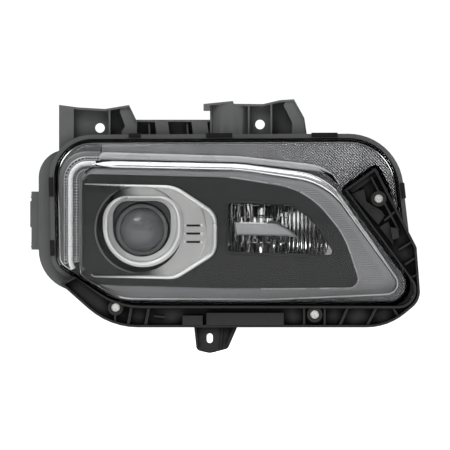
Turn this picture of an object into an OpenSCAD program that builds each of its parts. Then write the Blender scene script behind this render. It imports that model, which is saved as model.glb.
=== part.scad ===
// Car headlight assembly for one side of a small car: a sealed housing with a clear lens, a tilting
// bi-function projector, a turn-signal reflector, a daytime running light guide and a bumper bracket.
// The frame: +X towards the middle of the car, +Y into the car, +Z up. The origin is on the axis of the
// outboard upper mounting hole, on the front face of its tab. Millimetres.

/* [Lens] */
// Thickness of the clear cover's walls
lens_wall = 3; // [2.5:0.25:3]
// Radius of the sphere that the lens face is part of
lens_face_r = 1200; // [1150:50:1500]
// Distance from the mounting face forward to the lens's most forward point
lens_reach = 72; // [72:1:75]

/* [Housing] */
// Thickness of the housing's walls
wall = 3; // [2.5:0.25:3]
// Depth of the housing behind the mounting face, beside the projector
body_back = 48; // [47:0.5:49]
// Depth of the round bulge behind the projector
bulge_back = 106; // [106:1:108]
// Radius of the upper mounting holes
mount_hole_r = 5.5; // [4.5:0.25:5.5]
// Half the width of the slot in the lower mounting tab
slot_r = 3.5; // [3:0.25:4]
// Length of the slot in the lower mounting tab
slot_length = 11; // [10:0.5:12]

/* [Projector] */
// Radius of the projector's glass lens
glass_r = 26.5; // [25:0.5:26.5]
// Radial clearance of the pivot pins and the aiming screw in their bores
pivot_gap = 0.05; // [0.02:0.01:0.08]

/* [Bracket] */
// Thickness of the bumper bracket's walls
bracket_wall = 2.6; // [2.2:0.1:3]

/* [Hidden] */
$fn = 48;
gap = 0.3;
screw_r = 2;
screw_bore_r = 2.05;
trim_inset = 4.6;

// Depths along Y
lens_front = -lens_reach;
flange_front = -22;
tongue_end = -12;
channel_floor = -10;
flange_back = -7;
pocket_y = -34;
plate_front = -37.5;
plate_back = -34.7;
bracket_front = -50;
bezel_front = -38;
bezel_back = -35.5;
chrome_front = -46;
panel_front = -36;
guide_y = -38;
guide_x = -33.3;
guide_low = -150;
guide_high = -60;
guide_r = 3.2;
guide_bend = 19;
guide_foot_bend = 24;
guide_foot_turn = 24;
guide_end = [guide_x + guide_foot_bend * (1 - cos(guide_foot_turn)),
             guide_low - guide_foot_bend * sin(guide_foot_turn)];
tray_front = -33;
side_front = -5;
side_back = 60;
leg_end = 0;

// The seal flange: how far its channel and its walls lie from the lens's outline
flange_out = 6.5;
channel_out = 1.5;
channel_in = -4.5;
body_in = channel_in;

// Places in the X-Z plane
face_centre = [150, -110];
optic = [48.5, -117];
funnel = [45.8, -116];
funnel_r = 49.3;
ring = [49.9, -113.7];
ring_r = 46.2;
ring_top = 35.4;
ring_corner_r = 28;
aperture = [48.4, -114.6];
aperture_r = 33.1;
aperture_top = 30.5;
aperture_corner_r = 18;
bulge_r = 58;
turn = [200, -117];
upper_inboard = [184, 4];
lower_slot = [126.3, -241.5];
low_screws = [[18.3, -206.4], [246.6, -214.4]];
arm_screw = [320, -81.5];
bracket_screw_places = concat(low_screws, [arm_screw]);
screw_head_r = 4.8;
legs = [[-8, -160], [128, -62], [128, -172], [284, -168]];
connector = [155, -168];
connector_size = [34, 22];
vents = [[262, -60], [250, -176]];

// The lens clips: each is [x, z, the angle it faces, half its width]
clip_places = [[40, -7.5, 90.2, 7], [137, -7.2, 90.2, 15], [258, -6.7, 90.2, 15], [349.5, -72, 6.6, 9],
               [-57.4, -68, 181.2, 11], [-56, -138, 181.2, 9]];

// The tilting projector: its pivot axis runs along X at this Y and Z
pivot_y = 6;
pivot_z = -85;
pivot_r = 3;
pivot_half = 54;
carrier_front = 3;
carrier_back = 7;
carrier_r = 46;
flange_r = 44;
holder_r = 36;
holder_bore_r = 33.5;
bowl_r = 37;
bowl_depth = 58;
bowl_wall = 2.2;
neck_y = 50;
neck_r = 12;
projector_screw_places = [for (a = [30, 150, 212, 345]) optic + 41.9 * [cos(a), sin(a)]];
glass_seat_y = -32.5;
glass_back_y = -30;
glass_tip_y = -46;
aim_at = [74.5, -157];
aim_r = 3.2;
aim_nut_r = 6;
journal_r = 4;
shutter_y = -6;
shutter_z = -141;
shutter_pin_r = 1.5;
lever_x = 34.5;
lever_length = 25;
plunger_r = 2;
cap_collar_r = 33;
cap_hole_r = 29;
bayonet_angles = [0, 120, 240];
lug_width = 22;
side_limit = -20;
cover_screw_y = 29;
cover_screw_z = [-77.5, -135.5];
lead_at = [30, -106];
lead_r = 1.5;

// Outlines in the X-Z plane, clockwise seen from the front: each corner is [x, z, corner radius]
lens_outline = [[-52, -14.5, 42], [336, -13, 57], [358, -203.5, 22], [21, -203, 80], [-49, -157, 18]];
pocket_outline = [[279.8, -71.3, 0], [316.8, -45, 0], [350.4, -109.5, 0], [400, -109.5, 0],
                  [400, -198, 0], [362, -182, 0]];
chrome_in = [[-19.5, -46, 14], [161, -49.5, 230], [260, -65, 80], [351, -189, 11.5],
             [195, -195.8, 460], [22.5, -194.8, 57], [-19.5, -168.5, 8]];
chrome_out = [[-25.3, -37, 18], [161, -41, 230], [261, -54, 70], [354.5, -191, 14],
              [195, -198.3, 460], [21, -197.5, 60], [-25.3, -168.5, 12]];
dark_outline = [[-30, -53, 0], [144, -57, 230], [237, -71.5, 92], [279.5, -123, 100],
                [299.5, -183, 10], [144, -184, 0], [-3, -180.5, 0], [-30, -180.5, 0]];
pod_outline = [[-17.5, -64, 1], [86, -66, 40], [135, -98, 23], [134.5, -144.5, 21],
               [87.5, -174, 29], [-11, -171.3, 7]];
window_outline = [[148, -87, 3.5], [218.5, -89, 23], [244, -107, 34], [269.5, -145.5, 3.5],
                  [148, -142, 3.5]];
bar_outline = [[154, -108, 0], [202, -109.5, 20], [217, -117, 20], [228.3, -126.5, 0],
               [215, -124.2, 4], [156, -123, 2]];
strip_outline = [[2, -28, 6], [161, -32.5, 300], [264, -44, 48], [276.5, -64.5, 0], [260, -51.5, 40],
                 [161, -39.8, 230], [-3, -36.3, 2]];
side_outline = [[-70.5, -25, 32], [23, -25, 0], [23, -188, 20], [-70.5, -188, 48]];
outboard_tab = [[-47, 26.5, 0], [-25, 23.6, 12], [6, 21.8, 12], [33.5, 26.4, 0], [38, 17, 4],
                [42.5, 7.5, 0], [42.5, -22, 0], [-47, -52, 0]];
inboard_tab = [[119, 27.6, 0], [152.8, 31, 0], [154, 27.8, 0], [187.5, 27.4, 12], [207, 32, 8],
               [223, 33, 0], [235, 11.5, 8], [240, -22, 0], [126.5, -22, 0], [126.5, 19.5, 0],
               [119, 19.5, 0]];
bracket_outline = [[-26.5, -169.5, 1], [21, -204.2, 80], [359.6, -204.5, 18], [360.6, -180.5, 14],
                   [280.4, -71.3, 1], [316.2, -46, 1], [349.6, -110, 6], [363.4, -137, 9],
                   [365.5, -163, 10], [368, -198, 23], [331, -229, 69], [11.5, -229, 86], [-45, -179, 0]];
tab_outline = [[159, -226, 0], [147.2, -253.6, 6], [126.5, -259, 12], [111, -255.5, 6], [108, -226, 0]];

// Two-dimensional geometry ------------------------------------------------------------------------

function flat(p) = [p[0], p[1]];
function unit(v) = v / norm(v);
function left(v) = [-v[1], v[0]];
function around(list, i) = list[(i + len(list)) % len(list)];

// The points of one rounded corner b between the corners a and c
function corner_arc(a, b, c) =
    let (u = unit(flat(a) - flat(b)),
         v = unit(flat(c) - flat(b)),
         half = acos(max(-1, min(1, u * v))) / 2,
         centre = flat(b) + unit(u + v) * b[2] / sin(half),
         from = flat(b) + u * b[2] / tan(half) - centre,
         sweep = (180 - 2 * half) * sign(cross(u, v)) * -1,
         steps = max(1, ceil(abs(sweep) / 7.5)))
    [for (i = [0 : steps]) let (t = sweep * i / steps)
        centre + [from[0] * cos(t) - from[1] * sin(t), from[0] * sin(t) + from[1] * cos(t)]];

function rounded(corners) = [for (i = [0 : len(corners) - 1])
    each corners[i][2] < 0.05 ? [flat(corners[i])]
        : corner_arc(around(corners, i - 1), corners[i], around(corners, i + 1))];

// An outline moved outward by d, or inward where d is negative, with its corner radii to suit
function grow(corners, d) = [for (i = [0 : len(corners) - 1])
    let (a = around(corners, i - 1), b = corners[i], c = around(corners, i + 1),
         n1 = left(unit(flat(b) - flat(a))),
         n2 = left(unit(flat(c) - flat(b))),
         turn = cross(flat(b) - flat(a), flat(c) - flat(b)),
         p = flat(b) + d * (n1 + n2) / (1 + n1 * n2))
    [p[0], p[1], b[2] < 0.05 ? 0 : max(0, turn < 0 ? b[2] + d : b[2] - d)]];

module outline(corners) {
    polygon(rounded(corners));
}

module ring_of(corners, outer, inner) {
    difference() {
        outline(grow(corners, outer));
        outline(grow(corners, inner));
    }
}

// Moving drawings into space -----------------------------------------------------------------------

// Extrudes a drawing of the X-Z plane from y0 back to y1
module slab(y0, y1) {
    translate([0, y1, 0]) rotate([90, 0, 0]) linear_extrude(height = y1 - y0) children();
}

// A block from corner a to corner b
module block(a, b) {
    translate(a) cube(b - a);
}

// A cylinder along Y at p in the X-Z plane
module post(p, r, y0, y1) {
    translate([p[0], y0, p[1]]) rotate([-90, 0, 0]) cylinder(r = r, h = y1 - y0);
}

// Turns a [radius, Y] profile about the Y line through p
module revolve(p, profile) {
    translate([p[0], 0, p[1]]) rotate([-90, 0, 0]) rotate_extrude() polygon(profile);
}

// Part of a ring about the Y line through p: w degrees wide from angle a
module lug(p, a, w, r0, r1, y0, y1) {
    translate([p[0], y0, p[1]]) rotate([-90, 0, 0]) rotate([0, 0, a])
        rotate_extrude(angle = w) translate([r0, 0]) square([r1 - r0, y1 - y0]);
}

// A straight thin rib between two points of the X-Z plane
module rib(a, b, t, y0, y1) {
    n = left(unit(b - a)) * t / 2;
    slab(y0, y1) polygon([a + n, b + n, b - n, a - n]);
}

// A cylinder along X from x0 to x1, at a Y and Z
module pin_x(x0, x1, y, z, r) {
    translate([x0, y, z]) rotate([0, 90, 0]) cylinder(r = r, h = x1 - x0);
}

// Lens and seal ------------------------------------------------------------------------------------

module lens_form(inset, back) {
    difference() {
        intersection() {
            slab(lens_front - 5, back) outline(grow(lens_outline, -inset));
            translate([face_centre[0], lens_front + lens_face_r, face_centre[1]])
                sphere(r = lens_face_r - inset, $fn = 256);
        }
        slab(lens_front - 10, pocket_y + inset) outline(grow(pocket_outline, inset));
    }
}

module outer_lens() {
    boss_end = -18;
    color([0.85, 0.88, 0.9, 0.35]) difference() {
        union() {
            difference() {
                lens_form(0, tongue_end);
                lens_form(lens_wall, tongue_end + 1);
            }
            post(arm_screw, 5, plate_back, boss_end);
        }
        post(arm_screw, screw_bore_r, plate_back - 1, boss_end - 2);
    }
}

module seal_bead() {
    color("black") slab(tongue_end, channel_floor)
        ring_of(lens_outline, channel_out, channel_in);
}

// A spring clip that grips the seal flange, drawn in [outward, Y] and turned to face outward
module lens_clip(p, angle, half_width) {
    t = 1.2;
    reach = 4;
    profile = [[-reach, flange_front - t], [t, flange_front - t], [t, flange_back + t],
               [-reach, flange_back + t], [-reach, flange_back], [0, flange_back],
               [0, flange_front], [-reach, flange_front]];
    translate([p[0], 0, p[1]]) rotate([0, -angle, 0])
        translate([0, 0, -half_width]) linear_extrude(height = 2 * half_width) polygon(profile);
}

module lens_clips() {
    color("dimgray") for (c = clip_places) lens_clip([c[0], c[1]], c[2], c[3]);
}

// Housing ------------------------------------------------------------------------------------------

// The housing's outer form, or its hollow where d is the wall
module housing_form(d) {
    front = d > 0 ? flange_front - 1 : flange_back - 1;
    slab(front, body_back - d) outline(grow(lens_outline, body_in - d));
    slab(side_front + d, side_back - d) difference() {
        outline(grow(side_outline, -d));
        translate([side_limit - d, -300]) square([100, 400]);
    }
    post(optic, bulge_r - d, body_back - 12, bulge_back - d);
}

module outboard_upper_tab() {
    front = -12;
    back = 25;
    recess = 12;
    slab(front, back) difference() {
        outline(outboard_tab);
        translate([0, -2.5]) outline(outboard_tab);
    }
    intersection() {
        slab(front, back) outline(outboard_tab);
        union() {
            block([-47, front, -60], [-30, front + 2.5, 40]);
            block([-47, front, -60], [-44.5, back, 40]);
            block([-32, front, -60], [-30, 3, 40]);
            block([-32, 0, -60], [12, 3, 40]);
            block([10, front, -60], [12, recess + 3, 40]);
            block([10, recess, -60], [30, recess + 3, 40]);
            slab(front + 2, back) outline([[25, 40, 0], [50, 40, 0], [50, -60, 0], [25, -60, 0],
                                           [25, -4, 0], [29, 2, 0], [23, 18, 0]]);
        }
    }
}

module inboard_upper_tab() {
    front = -10;
    back = 25;
    recess = 12;
    slab(front, back) difference() {
        outline(inboard_tab);
        translate([0, -2.5]) outline(inboard_tab);
    }
    intersection() {
        slab(front, back) outline(inboard_tab);
        union() {
            block([119, front, 10], [126.5, front + 12, 40]);
            translate([150, 24, -60]) difference() {
                cylinder(r = 34, h = 100);
                translate([0, 0, -1]) cylinder(r = 31.5, h = 102);
                block([-40, -16, -2], [40, 40, 102]);
                block([22, -40, -2], [40, 40, 102]);
            }
            block([126.5, front + 6, -60], [129, back, 40]);
            block([170, front, -60], [172, 3, 40]);
            block([170, 0, -60], [198, 3, 40]);
            block([196, front, -60], [198, recess + 3, 40]);
            block([196, recess, -60], [222, recess + 3, 40]);
            slab(front + 1, back) outline([[219, 40, 0], [245, 40, 0], [245, -60, 0], [219, -60, 0],
                                           [221, 6, 0], [211, 26, 0]]);
        }
    }
}

module upper_rail() {
    front = -4;
    back = 12;
    low = -22;
    block([40, front, 7], [128, back + 2.5, 9.5]);
    block([40, back, low], [128, back + 2.5, 8]);
    for (face = [[63, 78], [105, 123]])
        slab(front, back) polygon([[face[0], 8], [face[1], 8], [face[1] + 4, low], [face[0] + 4, low]]);
    for (x = [55, 99])
        slab(front + 4, back) polygon([[x, 8], [x + 2, 8], [x + 4, low], [x + 2, low]]);
}

module screw_bosses() {
    for (p = low_screws) {
        difference() {
            union() {
                post(p, 5, plate_back, flange_back);
                rib(p, p + [0, 10], 3, flange_front, flange_back);
            }
            slab(-60, 60) outline(grow(lens_outline, channel_out));
        }
    }
}

module inner_bosses() {
    for (p = legs) post(p, 5, leg_end, body_back - 1);
    for (side = [-1, 1]) {
        x = optic[0] + side * (pivot_half + 6);
        block([x - 6, 13, pivot_z - 7], [x + 6, body_back - 1, pivot_z + 7]);
    }
}

module rear_ribs() {
    depth = body_back + 6;
    for (x = [230, 291, 310, 329])
        rib([x, -30], [x, -185], 2, body_back - 1, depth);
    for (z = [-44, -88, -146])
        rib([118, z], [330, z], 2, body_back - 1, depth);
    for (a = [20 : 40 : 340])
        rib(optic + bulge_r * 0.98 * [cos(a), sin(a)], optic + (bulge_r + 7) * [cos(a), sin(a)], 2.4,
            body_back - 1, body_back + 34);
}

module cap_collar() {
    post(optic, cap_collar_r, bulge_back - 1, bulge_back + 5);
    for (a = bayonet_angles) lug(optic, a, lug_width, cap_collar_r - 1, cap_collar_r + 2,
                                 bulge_back + 2.2, bulge_back + 4.2);
}

module connector_shroud() {
    w = connector_size;
    block([connector[0] - w[0] / 2, body_back - 1, connector[1] - w[1] / 2],
          [connector[0] + w[0] / 2, body_back + 4, connector[1] + w[1] / 2]);
}

module housing() {
    color([0.24, 0.25, 0.26]) difference() {
        union() {
            slab(flange_front, flange_back) ring_of(lens_outline, flange_out, body_in - wall);
            difference() {
                union() {
                    housing_form(0);
                    difference() {
                        union() {
                            outboard_upper_tab();
                            inboard_upper_tab();
                            upper_rail();
                        }
                        slab(-60, 60) outline(grow(lens_outline, body_in));
                        slab(-60, flange_back) outline(grow(lens_outline, flange_out - 1));
                    }
                }
                housing_form(wall);
            }
            screw_bosses();
            inner_bosses();
            rear_ribs();
            cap_collar();
            connector_shroud();
            post(aim_at, 8, bulge_back - wall, bulge_back + 4);
            post(turn, 19, body_back - 1, body_back + 3);
            for (p = vents) post(p, 6, body_back - 1, body_back + 10);
        }
        slab(flange_front - 1, channel_floor) ring_of(lens_outline, channel_out, channel_in);
        post([0, 0], mount_hole_r, -20, 40);
        post(upper_inboard, mount_hole_r, -20, 40);
        for (p = low_screws) post(p, screw_bore_r, plate_back - 1, -16);
        for (p = legs) post(p, 2.2, leg_end - 1, body_back + 1);
        post(optic, cap_hole_r, bulge_back - 10, bulge_back + 10);
        post(aim_at, journal_r + pivot_gap, bulge_back - 10, bulge_back + 10);
        post(turn, 15, body_back - 10, body_back + 10);
        for (a = [0, 180]) lug(turn, a - 14, 28, 10, 17.5, body_back - 10, body_back + 10);
        for (p = vents) post(p, 3, body_back - 10, body_back + 20);
        block([connector[0] - 12, body_back - 10, connector[1] - 6],
              [connector[0] + 12, body_back + 10, connector[1] + 6]);
        for (z = cover_screw_z) pin_x(-80, -60, cover_screw_y, z, 1.6);
        pin_x(-80, -60, lead_at[0], lead_at[1], 4);
    }
}

// Side and rear fittings ---------------------------------------------------------------------------

module driver_cover() {
    color([0.24, 0.25, 0.26]) difference() {
        union() {
            block([-79, 8, -140], [-70.5, 50, -73]);
            block([-80.5, 11, -114], [-75, 47, -84]);
        }
        block([-76, 11, -131], [-69, 47, -83]);
        for (z = cover_screw_z) pin_x(-90, -60, cover_screw_y, z, 1.9);
    }
}

module driver_cover_screws() {
    color("silver") for (z = cover_screw_z) difference() {
        union() {
            pin_x(-79, -66, cover_screw_y, z, 1.5);
            pin_x(-80.5, -79, cover_screw_y, z, 3.2);
        }
        pin_x(-81, -79.8, cover_screw_y, z, 1.2);
    }
}

module main_connector() {
    w = connector_size;
    color([0.12, 0.12, 0.13]) difference() {
        union() {
            block([connector[0] - 12, body_back - 4, connector[1] - 6],
                  [connector[0] + 12, body_back + 4, connector[1] + 6]);
            block([connector[0] - w[0] / 2 + 2, body_back + 4, connector[1] - w[1] / 2 + 2],
                  [connector[0] + w[0] / 2 - 2, body_back + 22, connector[1] + w[1] / 2 - 2]);
            block([connector[0] - 4, body_back + 10, connector[1] + 8],
                  [connector[0] + 4, body_back + 16, connector[1] + 12]);
        }
        block([connector[0] - w[0] / 2 + 4, body_back + 8, connector[1] - w[1] / 2 + 4],
              [connector[0] + w[0] / 2 - 4, body_back + 30, connector[1] + w[1] / 2 - 4]);
        pin_holes();
    }
}

module pin_holes() {
    for (i = [-2 : 2], z = [-3, 3])
        block([connector[0] + 4.4 * i - 0.7, body_back - 12, connector[1] + z - 0.4],
              [connector[0] + 4.4 * i + 0.7, body_back + 13, connector[1] + z + 0.4]);
}

module connector_pins() {
    color("gold") pin_holes();
}

module vent_elbows() {
    color([0.1, 0.1, 0.1]) for (p = vents) difference() {
        union() {
            post(p, 8.5, body_back + 3, body_back + 14);
            translate([p[0], body_back + 10, p[1] - 20]) cylinder(r = 4.5, h = 20);
        }
        post(p, 6, body_back, body_back + 10);
        translate([p[0], body_back + 10, p[1] - 21]) cylinder(r = 2.5, h = 21);
    }
}

module pivot_sockets() {
    color("whitesmoke") for (side = [-1, 1]) {
        x = optic[0] + side * (pivot_half + 6);
        inner = optic[0] + side * (pivot_half - 1);
        deep = optic[0] + side * (pivot_half + 9);
        difference() {
            block([x - 6, -2, pivot_z - 7], [x + 6, 13, pivot_z + 7]);
            pin_x(min(inner, deep), max(inner, deep), pivot_y, pivot_z, pivot_r + pivot_gap);
        }
    }
}

module aim_screw() {
    color("silver") {
        revolve(aim_at, [[0, -10], [aim_r - 1, -10], [aim_r, -9], [aim_r, 60], [aim_r - 0.4, 61],
                         [aim_r - 0.4, bulge_back - 8], [7, bulge_back - 8],
                         [7, bulge_back - wall - 0.1], [journal_r, bulge_back - wall - 0.1],
                         [journal_r, bulge_back + 5], [0, bulge_back + 5]]);
        translate([aim_at[0], bulge_back + 5, aim_at[1]]) rotate([-90, 0, 0])
            cylinder(r = 7, h = 8, $fn = 6);
    }
}

module low_beam_cap() {
    outer = 38;
    skirt = 35.4;
    color([0.16, 0.16, 0.17]) {
        revolve(optic, [[0, bulge_back + 7], [skirt, bulge_back + 7], [skirt, bulge_back + 0.6],
                        [outer, bulge_back + 0.6], [outer, bulge_back + 9], [outer - 1.5, bulge_back + 10.5],
                        [0, bulge_back + 10.5]]);
        for (a = bayonet_angles)
            lug(optic, a, lug_width, cap_collar_r + 0.3, skirt + 1, bulge_back + 0.6, bulge_back + 2);
        block([optic[0] - 26, bulge_back + 10, optic[1] - 3], [optic[0] + 26, bulge_back + 18, optic[1] + 3]);
        for (a = [0 : 30 : 330]) if (a % 180 != 0)
            translate([optic[0], 0, optic[1]]) rotate([0, a, 0])
                block([29, bulge_back + 10, -1.2], [36, bulge_back + 12, 1.2]);
    }
}

module cap_seal() {
    color([0.1, 0.1, 0.1]) slab(bulge_back + 5, bulge_back + 7) difference() {
        translate(optic) circle(r = cap_collar_r);
        translate(optic) circle(r = cap_collar_r - 3);
    }
}

// Turn signal --------------------------------------------------------------------------------------

// The inside of the turn reflector's dish, or its outside where d is the wall
module dish(d) {
    vertex = 18 + d;
    bowl = 86;
    steps = 7;
    intersection() {
        slab(bezel_front - 1, vertex + 1) outline(grow(window_outline, d));
        revolve(turn, [[0, vertex], for (i = [1 : steps])
            let (y = vertex - (vertex - bezel_front + 1) * pow(i / steps, 2))
            [sqrt(bowl * (vertex - y)), y], [0, bezel_front - 1]]);
    }
}

module turn_reflector() {
    color([0.86, 0.87, 0.88]) difference() {
        dish(2.4);
        dish(0);
        post(turn, 15.2, -10, 30);
        slab(bezel_front - 4, bezel_front - 1 + 0.01) outline(grow(window_outline, 6));
    }
}

module turn_bulb_shield() {
    color([0.75, 0.76, 0.77]) {
        slab(-38, -31) outline(bar_outline);
        block([149.6, -36, -120], [157, -32, -112]);
    }
}

module turn_bulb() {
    color([0.9, 0.93, 0.95, 0.5]) intersection() {
        union() {
            translate([turn[0], -3, turn[1]]) sphere(r = 9);
            post(turn, 6.5, -3, 22);
        }
        post(turn, 12, -20, 22);
    }
}

module turn_socket() {
    color([0.5, 0.5, 0.5]) {
        post(turn, 10, 22, 34);
        post(turn, 14.6, 34, body_back + 4.5);
        post(turn, 18.5, body_back + 4.5, body_back + 7.5);
        for (a = [60, 240]) lug(turn, a - 13, 26, 12, 17.2, body_back - 6, body_back - wall - 0.15);
        for (a = [0, 90]) translate([turn[0], 0, turn[1]]) rotate([0, a, 0])
            block([-14, body_back + 7.5, -2.5], [14, body_back + 18, 2.5]);
    }
}

module turn_socket_seal() {
    color([0.8, 0.35, 0.1]) slab(body_back + 3, body_back + 4.5) difference() {
        translate(turn) circle(r = 18);
        translate(turn) circle(r = 15);
    }
}

// Trim seen through the lens -----------------------------------------------------------------------

module main_bezel() {
    floor_front = -24;
    floor_back = -22;
    color([0.28, 0.29, 0.3]) difference() {
        union() {
            slab(bezel_front, bezel_back) outline(grow(chrome_in, 1));
            block([-20.5, bezel_front - 2.5, -160], [-17.5, bezel_front, -60]);
            post(funnel, funnel_r + 2.2, bezel_front, floor_back);
            for (p = legs) post(p, 4.6, bezel_back, leg_end);
        }
        post(funnel, funnel_r, bezel_front - 1, floor_front);
        post(optic, holder_r + 1.5, floor_front - 1, floor_back + 1);
        slab(bezel_front - 1, leg_end) outline(grow(window_outline, 2.7));
        for (p = legs) post(p, screw_bore_r, -16, leg_end + 1);
    }
}

module bezel_screws() {
    color("silver") for (p = legs) difference() {
        union() {
            post(p, screw_r, -14, body_back + 1);
            post(p, 4.2, body_back, body_back + 2.6);
        }
        translate([p[0], body_back + 1.2, p[1]]) rotate([-90, 0, 0]) cylinder(r = 1.8, h = 5, $fn = 6);
    }
}

module satin_trim() {
    color([0.55, 0.56, 0.57]) slab(bezel_front - 3, bezel_front) difference() {
        outline(grow(chrome_in, -gap));
        outline(dark_outline);
    }
}

// The bright frame runs from the light guide's upper end right round to its foot
module chrome_frame() {
    foot_end_z = -163;
    color([0.9, 0.91, 0.92]) difference() {
        union() {
            slab(chrome_front, bezel_front) difference() {
                outline(chrome_out);
                outline(chrome_in);
            }
            slab(bezel_front - 1, bezel_back) difference() {
                outline(chrome_out);
                outline(grow(chrome_in, 1.2));
            }
        }
        block([-60, chrome_front - 1, foot_end_z], [guide_x + guide_bend + 11, 0, 0]);
    }
}

// The ring's or the opening's form: the lower half of a circle with a flat, round-cornered top
module squared_circle(centre, r, top, corner_r) {
    translate(centre) {
        intersection() {
            circle(r = r);
            translate([-2 * r, -2 * r]) square([4 * r, 2 * r]);
        }
        outline([[-r, top, corner_r], [r, top, corner_r], [r, -gap, 0], [-r, -gap, 0]]);
    }
}

module projector_shroud() {
    ring_front = -50;
    ring_edge = 3.5;
    cone_depth = 8;
    pod_front = -44;
    pod_start = [24, -300];
    rim_front = -46;
    rim_width = 2.6;
    rim_start = [-13, -300];
    far = [400, 400];
    slot_heights = [-112, -121.5, -131];
    color([0.68, 0.68, 0.66]) difference() {
        union() {
            slab(pod_front, pod_front + 2.4) difference() {
                intersection() {
                    outline(pod_outline);
                    translate(pod_start) square(far);
                }
                translate(funnel) circle(r = funnel_r);
            }
            slab(rim_front, bezel_front) intersection() {
                ring_of(pod_outline, 0, -rim_width);
                translate(rim_start) square(far);
            }
            slab(ring_front, bezel_front) squared_circle(ring, ring_r, ring_top, ring_corner_r);
            slab(pod_front, bezel_front) intersection() {
                translate(funnel) circle(r = funnel_r + 2);
                translate([86, -150]) square([12, 64]);
            }
        }
        slab(ring_front - 1, bezel_front + 1)
            squared_circle(aperture, aperture_r, aperture_top, aperture_corner_r);
        intersection() {
            revolve(ring, [[0, ring_front - 1], [ring_r - ring_edge, ring_front - 1],
                           [ring_r - ring_edge, ring_front], [aperture_r + 1, ring_front + cone_depth],
                           [0, ring_front + cone_depth]]);
            slab(ring_front - 2, bezel_front)
                squared_circle(ring, ring_r - ring_edge, ring_top - ring_edge, ring_corner_r - ring_edge);
        }
        for (z = slot_heights) block([99.5, pod_front - 1, z - 0.6], [115, pod_front + 1, z + 0.6]);
    }
}

// The flat area between the chrome frame and the lens's edge, around the bracket's recess
module border() {
    difference() {
        outline(grow(lens_outline, -trim_inset));
        outline(grow(chrome_out, 0.3));
        outline(grow(pocket_outline, 4.2));
    }
}

module upper_panel() {
    color([0.5, 0.51, 0.52]) {
        slab(panel_front, panel_front + 2.5) intersection() {
            border();
            translate([2, -300]) square([500, 400]);
        }
    }
}

module diffuser_strip() {
    color([0.9, 0.9, 0.88, 0.8]) slab(panel_front - 6, panel_front) outline(strip_outline);
}

// Part of a bent rod: an arc about centre from one angle to another, at the guide's depth
module rod_arc(centre, bend_r, from, to, r) {
    translate([centre[0], guide_y, centre[1]]) rotate([90, 0, 0]) rotate([0, 0, from])
        rotate_extrude(angle = to - from) translate([bend_r, 0]) circle(r = r);
}

module light_guide() {
    color([0.95, 0.96, 0.97]) {
        translate([guide_x, guide_y, guide_low]) cylinder(r = guide_r, h = guide_high - guide_low);
        rod_arc([guide_x + guide_bend, guide_high], guide_bend, 90, 180, guide_r);
        pin_x(guide_x + guide_bend, guide_x + guide_bend + 10, guide_y, guide_high + guide_bend, guide_r);
        rod_arc([guide_x + guide_foot_bend, guide_low], guide_foot_bend, 180, 180 + guide_foot_turn, guide_r);
        post(guide_end, guide_r + 0.3, guide_y - guide_r - 0.2, tray_front + 0.8);
    }
}

module guide_tray() {
    color([0.4, 0.41, 0.42]) difference() {
        union() {
            slab(tray_front, tray_front + 2) difference() {
                intersection() {
                    outline(grow(lens_outline, -trim_inset));
                    translate([-100, -168]) square([101.7, 200]);
                }
                outline(grow(chrome_in, -2));
            }
            for (z = [-150 : 4 : -62]) {
                block([-42.5, tray_front - 3, z - 1], [-38.5, tray_front, z + 1]);
                block([-29, tray_front - 3, z - 1], [-23, tray_front, z + 1]);
            }
        }
        post(guide_end, guide_r + 0.5, tray_front - 5, tray_front + 3);
    }
}

module led_board() {
    end = guide_end;
    color("green") slab(tray_front + 2, tray_front + 3.6)
        polygon([[-39, -132], [-27, -132], [-26.2, -166], [-30, -165], [-39, -156]]);
    color("gold") block([end[0] - 1.7, tray_front + 1, end[1] - 1.7],
                        [end[0] + 1.7, tray_front + 2, end[1] + 1.7]);
}

module led_heat_sink() {
    back = tray_front + 3.6;
    color("silver") {
        block([-38, back, -152], [-27, back + 3, -133]);
        for (i = [0 : 3]) block([-38 + 3.2 * i, back, -152], [-36.6 + 3.2 * i, back + 12, -133]);
    }
}

module led_lead() {
    points = [[-31, tray_front + 3.6, -156], [-31, 6, -150], [-34, 22, -120], [-50, 30, -107],
              [-75.8, lead_at[0], lead_at[1]]];
    color("black") {
        for (i = [0 : 3]) {
            d = points[i + 1] - points[i];
            translate(points[i]) rotate([0, acos(d[2] / norm(d)), atan2(d[1], d[0])])
                cylinder(r = lead_r, h = norm(d), $fn = 24);
        }
        for (i = [1 : 3]) translate(points[i]) sphere(r = lead_r + 0.2, $fn = 24);
    }
}

// Bumper bracket -----------------------------------------------------------------------------------

module bumper_bracket() {
    wide = 2.2;
    color([0.13, 0.13, 0.14]) difference() {
        union() {
            slab(plate_front, plate_back) outline(bracket_outline);
            slab(bracket_front + 1, plate_front) ring_of(bracket_outline, 0, -bracket_wall);
            slab(plate_back, -14) difference() {
                ring_of(bracket_outline, 0, -bracket_wall);
                outline(grow(lens_outline, 9));
            }
            intersection() {
                slab(bracket_front, plate_front) outline(bracket_outline);
                bracket_ribs(wide);
            }
            for (p = bracket_screw_places) post(p, 8.8, bracket_front + 3, plate_back);
            lower_tab();
        }
        for (p = bracket_screw_places) {
            post(p, 2.3, bracket_front - 1, plate_back + 1);
            post(p, screw_head_r + 0.4, bracket_front - 1, plate_front - 1.5);
        }
        difference() {
            slab(bracket_front - 1, -12) outline(grow(lens_outline, 0.5));
            slab(bracket_front - 2, pocket_y) outline(grow(pocket_outline, -0.5));
        }
        slab(-60, 0) translate(lower_slot) slot_drawing();
    }
}

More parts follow.
